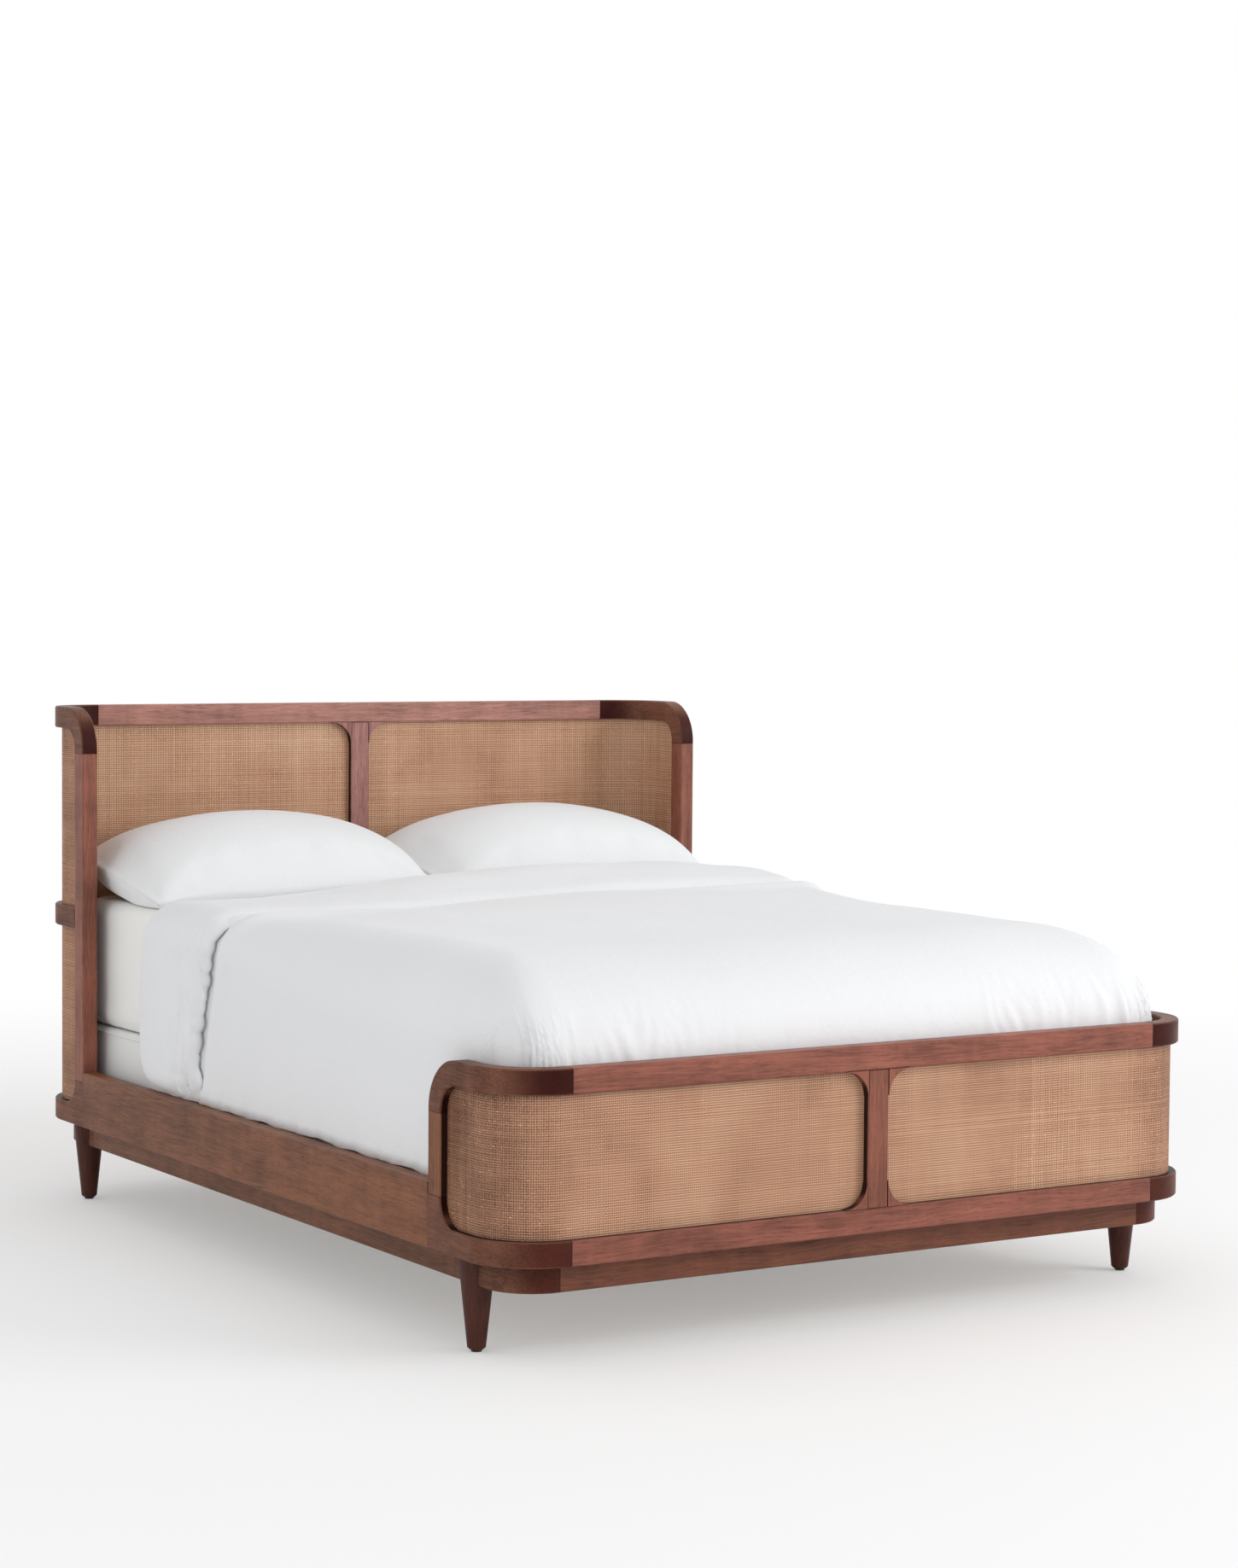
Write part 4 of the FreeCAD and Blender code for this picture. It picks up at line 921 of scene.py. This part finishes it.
def spread(across, along):
    """The quilt's upper face. Across and along are measured on the cloth from its middle line and its
    head end. Past the flat middle it runs on, turns down through a quarter of a superellipse and
    hangs straight. At the foot's corners the square of cloth is drawn round into a superellipse in
    plan. Gives points, and the heading from sideways (0) to footways."""
    past_side = np.clip(np.abs(across) - core_half, 0, None)
    past_foot = np.clip(along - (duvet_head - core_foot), 0, None)
    larger = np.maximum(np.maximum(past_side, past_foot), 1e-9)
    share = np.minimum(past_side, past_foot) / larger * np.pi / 4
    heading = np.where(past_side >= past_foot, share, np.pi / 2 - share)
    footways = np.sin(heading) ** 2
    flat_y = np.maximum(duvet_head - along, core_foot)
    tight = ramp(flat_y, -0.15, 0.30) * (1 - footways)
    shoulder = SIDE_SHOULDER + (FOOT_SHOULDER - SIDE_SHOULDER) * footways
    run = (SIDE_SHOULDER - HEAD_SHOULDER) * tight
    fall = SIDE_SHOULDER + (FOOT_FALL - SIDE_SHOULDER) * footways - run
    power = 2 + (FOOT_POWER - 2) * footways
    arc = np.pi / 2 * np.sqrt(((shoulder - run) ** 2 + fall**2) / 2)
    level = larger / DRAPE * (run + arc + duvet_top - fall - duvet_hem)
    turn = np.clip((level - run) / arc, 0, 1) * np.pi / 2
    out = np.clip(level, 0, run) + (shoulder - run) * np.sin(turn) ** (2 / power)
    hang = np.clip(level - run - arc, 0, None)
    down = fall * (1 - np.abs(np.cos(turn)) ** (2 / power)) + hang
    sign = np.where(across < 0, -1.0, 1.0)
    side_out = SIDE_SHOULDER * out / shoulder * np.abs(np.cos(heading)) ** (2 / CORNER_POWER)
    foot_out = FOOT_SHOULDER * out / shoulder * np.sin(heading) ** (2 / CORNER_POWER)
    x = sign * (np.minimum(np.abs(across), core_half) + side_out)
    y = flat_y - foot_out
    lower = pressed(x, y) * (1 - down / (duvet_top - duvet_hem))
    return np.stack([x, y, duvet_top - down - lower], -1), heading


def facing_of(across, along, step=0.003):
    """The way that the quilt's upper face looks: the cross product of its slopes along and across."""
    run_across = spread(across + step, along)[0] - spread(across - step, along)[0]
    run_along = spread(across, along + step)[0] - spread(across, along - step)[0]
    face = np.cross(run_along, run_across)
    return face / np.maximum(np.linalg.norm(face, axis=-1, keepdims=True), 1e-12)


def spaced(low, high, spacing):
    """Places from low to high whose spacing follows a function of place: the sum of its reciprocal
    is cut into equal steps."""
    fine = np.linspace(low, high, 4001)
    steps = np.diff(fine) / spacing((fine[1:] + fine[:-1]) / 2)
    count = np.concatenate([[0], np.cumsum(steps)])
    return np.interp(np.linspace(0, count[-1], int(count[-1]) + 1), count, fine)


def across_step(place):
    """The grid's step across the quilt, which is fine where its foot gathers and its sides turn down."""
    coarse, less = ACROSS_STEPS
    return coarse - less * ramp(np.abs(place), 0.22, 0.32) * ramp(np.abs(place), 1.02, 0.92)


def along_step(place):
    """The grid's step along the quilt, which is fine at its foot and by the turned-back end's hem."""
    by_fold = ramp(np.abs(place - FOLD_BACK + 0.06), 0.14, 0.08)
    coarse, less = ALONG_STEPS
    return coarse - less * np.maximum(ramp(place, 1.25, 1.35), by_fold)


def waves(u, v, rows):
    """Billows of several heights, widths and lengths, added up."""
    return sum(height * billow(u / wide, v / long, seed) for height, wide, long, seed in rows)


def hem_line(z):
    """Where the turned-back end's hem lies along the bed: it leans to the head as it hangs."""
    return duvet_high.y - FOLD_BACK + FOLD_LEAN * ramp(z, duvet_top - 0.04, duvet_hem + 0.05)


cloth_half = core_half + DRAPE
cloth_length = duvet_head - core_foot + DRAPE
across, along = np.meshgrid(
    spaced(-cloth_half, cloth_half, across_step), spaced(0, cloth_length, along_step), indexing="ij"
)
outer, heading = spread(across, along)
face = facing_of(across, along)
deep = ramp(outer[..., 1], -0.96, -1.03)
inner = outer - face * (LINING_GAP + FOOT_FILL * deep)[..., None]
x, y, z = outer[..., 0], outer[..., 1], outer[..., 2]
flatness = np.clip(face[..., 2], 0, 1)
rim_run = y * np.cos(heading) + x * np.sin(heading)
top_waves = waves(x, y, TOP_WAVES)
side_folds = waves(rim_run, z, SIDE_FOLDS)
hem_zone = np.exp(-np.clip(z - duvet_hem, 0, None) / HEM_ZONE) * np.cos(heading) ** 2
frill = (HEM_FRILL[0] + HEM_FRILL[1] * billow(rim_run / 0.035, z / 0.06, 65)) * hem_zone
tucked_up = TUCK[2] * np.exp(-(((y - TUCK[0]) / TUCK[1]) ** 2))
hem_drop = (HEM_DROP[0] - HEM_DROP[1] * billow(rim_run / 0.07, z * 0, 68) - tucked_up) * hem_zone
foot_zone = ramp(y, -0.86, -0.96) * ramp(z, 0.665, 0.575) * ramp(z, 0.42, 0.50)
gather_places = GATHERS_LEFT + GATHERS_RIGHT
gather_groups = sum(np.exp(-(((x - middle) / width) ** 2)) for middle, width in gather_places)
folds = np.abs(billow(rim_run / 0.032 + 0.8 * billow(x / 0.1, z / 0.1, 66), z / 0.2, 67))
gathers = foot_zone * (0.2 + gather_groups) * FOLD_DEPTH * (folds - 0.22)
from_hem = y - hem_line(z)
puffed = PUFF[0] * np.exp(-(((from_hem + PUFF[1]) / PUFF[2]) ** 2))
puffed = (puffed - GROOVE[0] * np.exp(-((from_hem / GROOVE[1]) ** 2))) * ramp(np.abs(x), 0.15, 0.65)
lift = flatness * top_waves + (1 - flatness) * (side_folds + frill) + gathers + puffed
index = np.arange(across.size).reshape(across.shape)
faces_out = grid_quads(index, turned=True)
slack = np.clip(foot_zone * (0.25 + gather_groups) + 0.7 * hem_zone, 0, 1)
outer = outer + face * lift[..., None]
outer[..., 2] -= hem_drop
gathered = simulated(
    outer.reshape(-1, 3),
    faces_out,
    GATHER_FRAMES,
    {"held": (1 - ramp(slack, 0.0, 0.25)).reshape(-1), "slack": slack.reshape(-1)},
    vertex_group_mass="held",
    vertex_group_shrink="slack",
    shrink_min=0.0,
    shrink_max=-GATHER_GROWTH,
    bending_stiffness=0.05,
    quality=5,
).reshape(outer.shape)
outwards = (gathered * face).sum(-1, keepdims=True) * face
inwards = gathered - outwards
drift = np.maximum(np.linalg.norm(inwards, axis=-1, keepdims=True), 1e-9)
outer = outer + outwards + inwards * np.minimum(1, SIDE_SLIP / drift)
base, _ = spread(across, along)
tight_place = (z < 0.56) & (y < -0.78)
out_by = ((outer - base) * face).sum(-1)
furthest = np.where(tight_place, REACH_BY_RAIL, REACH_OUT)
kept_out = np.clip(out_by, -REACH_IN - FOOT_SINK * deep, furthest)
outer = outer + face * (kept_out - out_by)[..., None]
faces_in = faces_out[:, ::-1] + across.size


def rim_of(grid):
    """The indices round a grid's edge, in order."""
    return np.concatenate([grid[:-1, 0], grid[-1, :-1], grid[:0:-1, -1], grid[0, :0:-1]])


outer_rim = rim_of(index)
middle_rim = 2 * across.size + np.arange(len(outer_rim))
inner_rim = outer_rim + across.size
all_points = np.concatenate([outer.reshape(-1, 3), inner.reshape(-1, 3)])
rim_points = (all_points[outer_rim] + all_points[inner_rim]) / 2
head_rim = rim_points[:, 1] > duvet_head - 0.01
rim_points[:, 1] += np.where(head_rim, HEAD_RIM_OUT, 0)
rim_points[:, 2] -= np.where(head_rim, 0, HEM_RIM_DOWN)


def band_between(first, second):
    """Quads that join two closed rows of points."""
    return np.stack([first, np.roll(first, -1), np.roll(second, -1), second], -1)


rim_quads = np.concatenate([band_between(outer_rim, middle_rim), band_between(middle_rim, inner_rim)])
all_points = np.concatenate([all_points, rim_points])
all_quads = np.concatenate([faces_out, faces_in, rim_quads])
duvet_finish = cotton("duvet_cloth", DUVET_WHITE, thread=0.0008, crinkle=1.0)
duvet = new_piece("duvet_spread", all_points, all_quads, duvet_finish)
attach(duvet, "duvet")
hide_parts("duvet")


# Turned-back end: the head end of the duvet, rolled over and laid back on itself in a deep band. The
# roll is plump at the head and sinks softly into the quilt at the hem. Down both sides the band hangs
# free, with a thick scalloped hem, creases beside it and a scrunched lower corner.
BAND_RISE = duvet_high.z - duvet_top
BAND_HEM_RISE = (0.015, 0.030)  # on top and down the sides
BAND_SIDE_RISE = 0.018
BAND_STEP = 0.009
BAND_SECTION = 150
BAND_OVERHANG = 0.006
LOW_BULGE = 0.022
LOW_ROUND = (0.09, 0.080)  # how high and how deep the lower corner is rounded
THIN_LEFT, THIN_RIGHT = 0.8, 0.45
UNDERSIDE = (0.011, 0.031)  # how far it reaches under, down the sides and on top
SCALLOPS = (0.012, 0.055, 0.065)  # set-back, depth and spacing
CREASES, CREASE_WANDER = (0.040, 0.045, 0.22), 0.03  # depth, spacing and length
HEM_RIDGE = (0.005, 0.020, 0.012)  # height, distance from the hem, and width
SCRUNCH = (0.022, 0.022, 0.030)  # depth, spacing and length
BAND_SWELL = ((0.006, 0.3, 0.16, 72), (0.002, 0.1, 0.09, 73))
HEM_SINK = 0.009
END_TAPER = 0.03
band_half = cloth_half + BAND_OVERHANG
band_across = np.linspace(-band_half, band_half, int(2 * band_half / BAND_STEP))
turn_share = np.linspace(0, 2 * np.pi, BAND_SECTION, endpoint=False)
band_a, band_t = np.meshgrid(band_across, turn_share, indexing="ij")
along_band = (1 - np.cos(band_t)) / 2
band_along = FOLD_BACK * (1 - along_band)
base, _ = spread(band_a, band_along)
base_face = facing_of(band_a, band_along)
hanging = 1 - base_face[..., 2]
thin_left = THIN_LEFT * ramp(-base[..., 0], 0.05, 0.6)
thin_right = THIN_RIGHT * ramp(base[..., 0], 0.45, 0.75)
rise = BAND_RISE * (1 - thin_left - thin_right) + BAND_SIDE_RISE * hanging
under = np.where(hanging > 0.5, *UNDERSIDE)
to_hem = np.clip((base[..., 2] - duvet_hem) / LOW_ROUND[0], 0, 1)
low_bulge = LOW_BULGE * ramp(base[..., 2], duvet_top - 0.04, duvet_top - 0.20)
rounded_off = LOW_ROUND[1] * (1 - np.sqrt(1 - (1 - to_hem) ** 2)) * hanging
head_edge = duvet_high.y + low_bulge - rounded_off
lobes = np.abs(billow(band_a / SCALLOPS[2], np.zeros_like(band_a), 75))
scallops = SCALLOPS[0] - SCALLOPS[1] * lobes
hem_edge = hem_line(base[..., 2]) + scallops * hanging
band_y = hem_edge + (head_edge - hem_edge) * along_band
hem_rise = BAND_HEM_RISE[0] + (BAND_HEM_RISE[1] - BAND_HEM_RISE[0]) * hanging
plump = hem_rise + (rise - hem_rise) * ramp(along_band, 0.0, 0.75)
upper = band_t < np.pi
rounding = np.sqrt(np.clip(np.sin(band_t) ** 2, 0, 1)) ** 0.35
soft_hem = ramp(along_band, 0.0, 0.16)
rounding = rounding * (soft_hem + (1 - soft_hem) * ramp(hanging, 0.05, 0.4))
roll = ramp(along_band, 0.78, 0.9)
height = np.where(upper, plump * rounding, -under * roll * rounding + 0.001)
wander = CREASE_WANDER * billow(band_a / 0.25, band_y / 0.3, 74)
crease = CREASES[0] * np.abs(billow((band_y + wander) / CREASES[1], base[..., 2] / CREASES[2], 71))
crease = crease - HEM_RIDGE[0] * np.exp(-(((band_y - hem_edge - HEM_RIDGE[1]) / HEM_RIDGE[2]) ** 2))
crease = crease * hanging * ramp(along_band, 0.65, 0.15)
scrunch = SCRUNCH[0] * np.abs(billow(band_a / SCRUNCH[1], band_y / SCRUNCH[2], 76))
crease = crease + scrunch * ramp(to_hem, 0.9, 0.2) * hanging * ramp(along_band, 0.5, 0.1)
swell = waves(band_a, band_y, BAND_SWELL)
height = height + np.where(upper, rounding * (swell * (1 - 0.5 * hanging) - crease), 0)
height = height - HEM_SINK * ramp(hanging, 0.4, 0.05) * ramp(along_band, 0.25, 0.0)
taper = np.clip((band_half - np.abs(band_a)) / END_TAPER, 0, 1)
height = height * np.where(upper, 0.25 + 0.75 * np.sqrt(taper), 1)
band_points = np.stack([base[..., 0], band_y, base[..., 2]], -1) + base_face * height[..., None]
index = np.arange(band_a.size).reshape(band_a.shape)
band_quads = grid_quads(np.concatenate([index, index[:, :1]], 1))
for row, order in ((index[0], 1), (index[-1], -1)):
    top_row = row[: BAND_SECTION // 2 + 1]
    low_row = np.concatenate([row[:1], row[: BAND_SECTION // 2 - 1 : -1]])
    cap = np.stack([top_row[:-1], top_row[1:], low_row[1:], low_row[:-1]], -1)[1:-1]
    band_quads = np.concatenate([band_quads, cap[:, ::order]])
band = new_piece("duvet_turned_back", band_points.reshape(-1, 3), band_quads, duvet_finish)
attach(band, "duvet")
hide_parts("duvet")
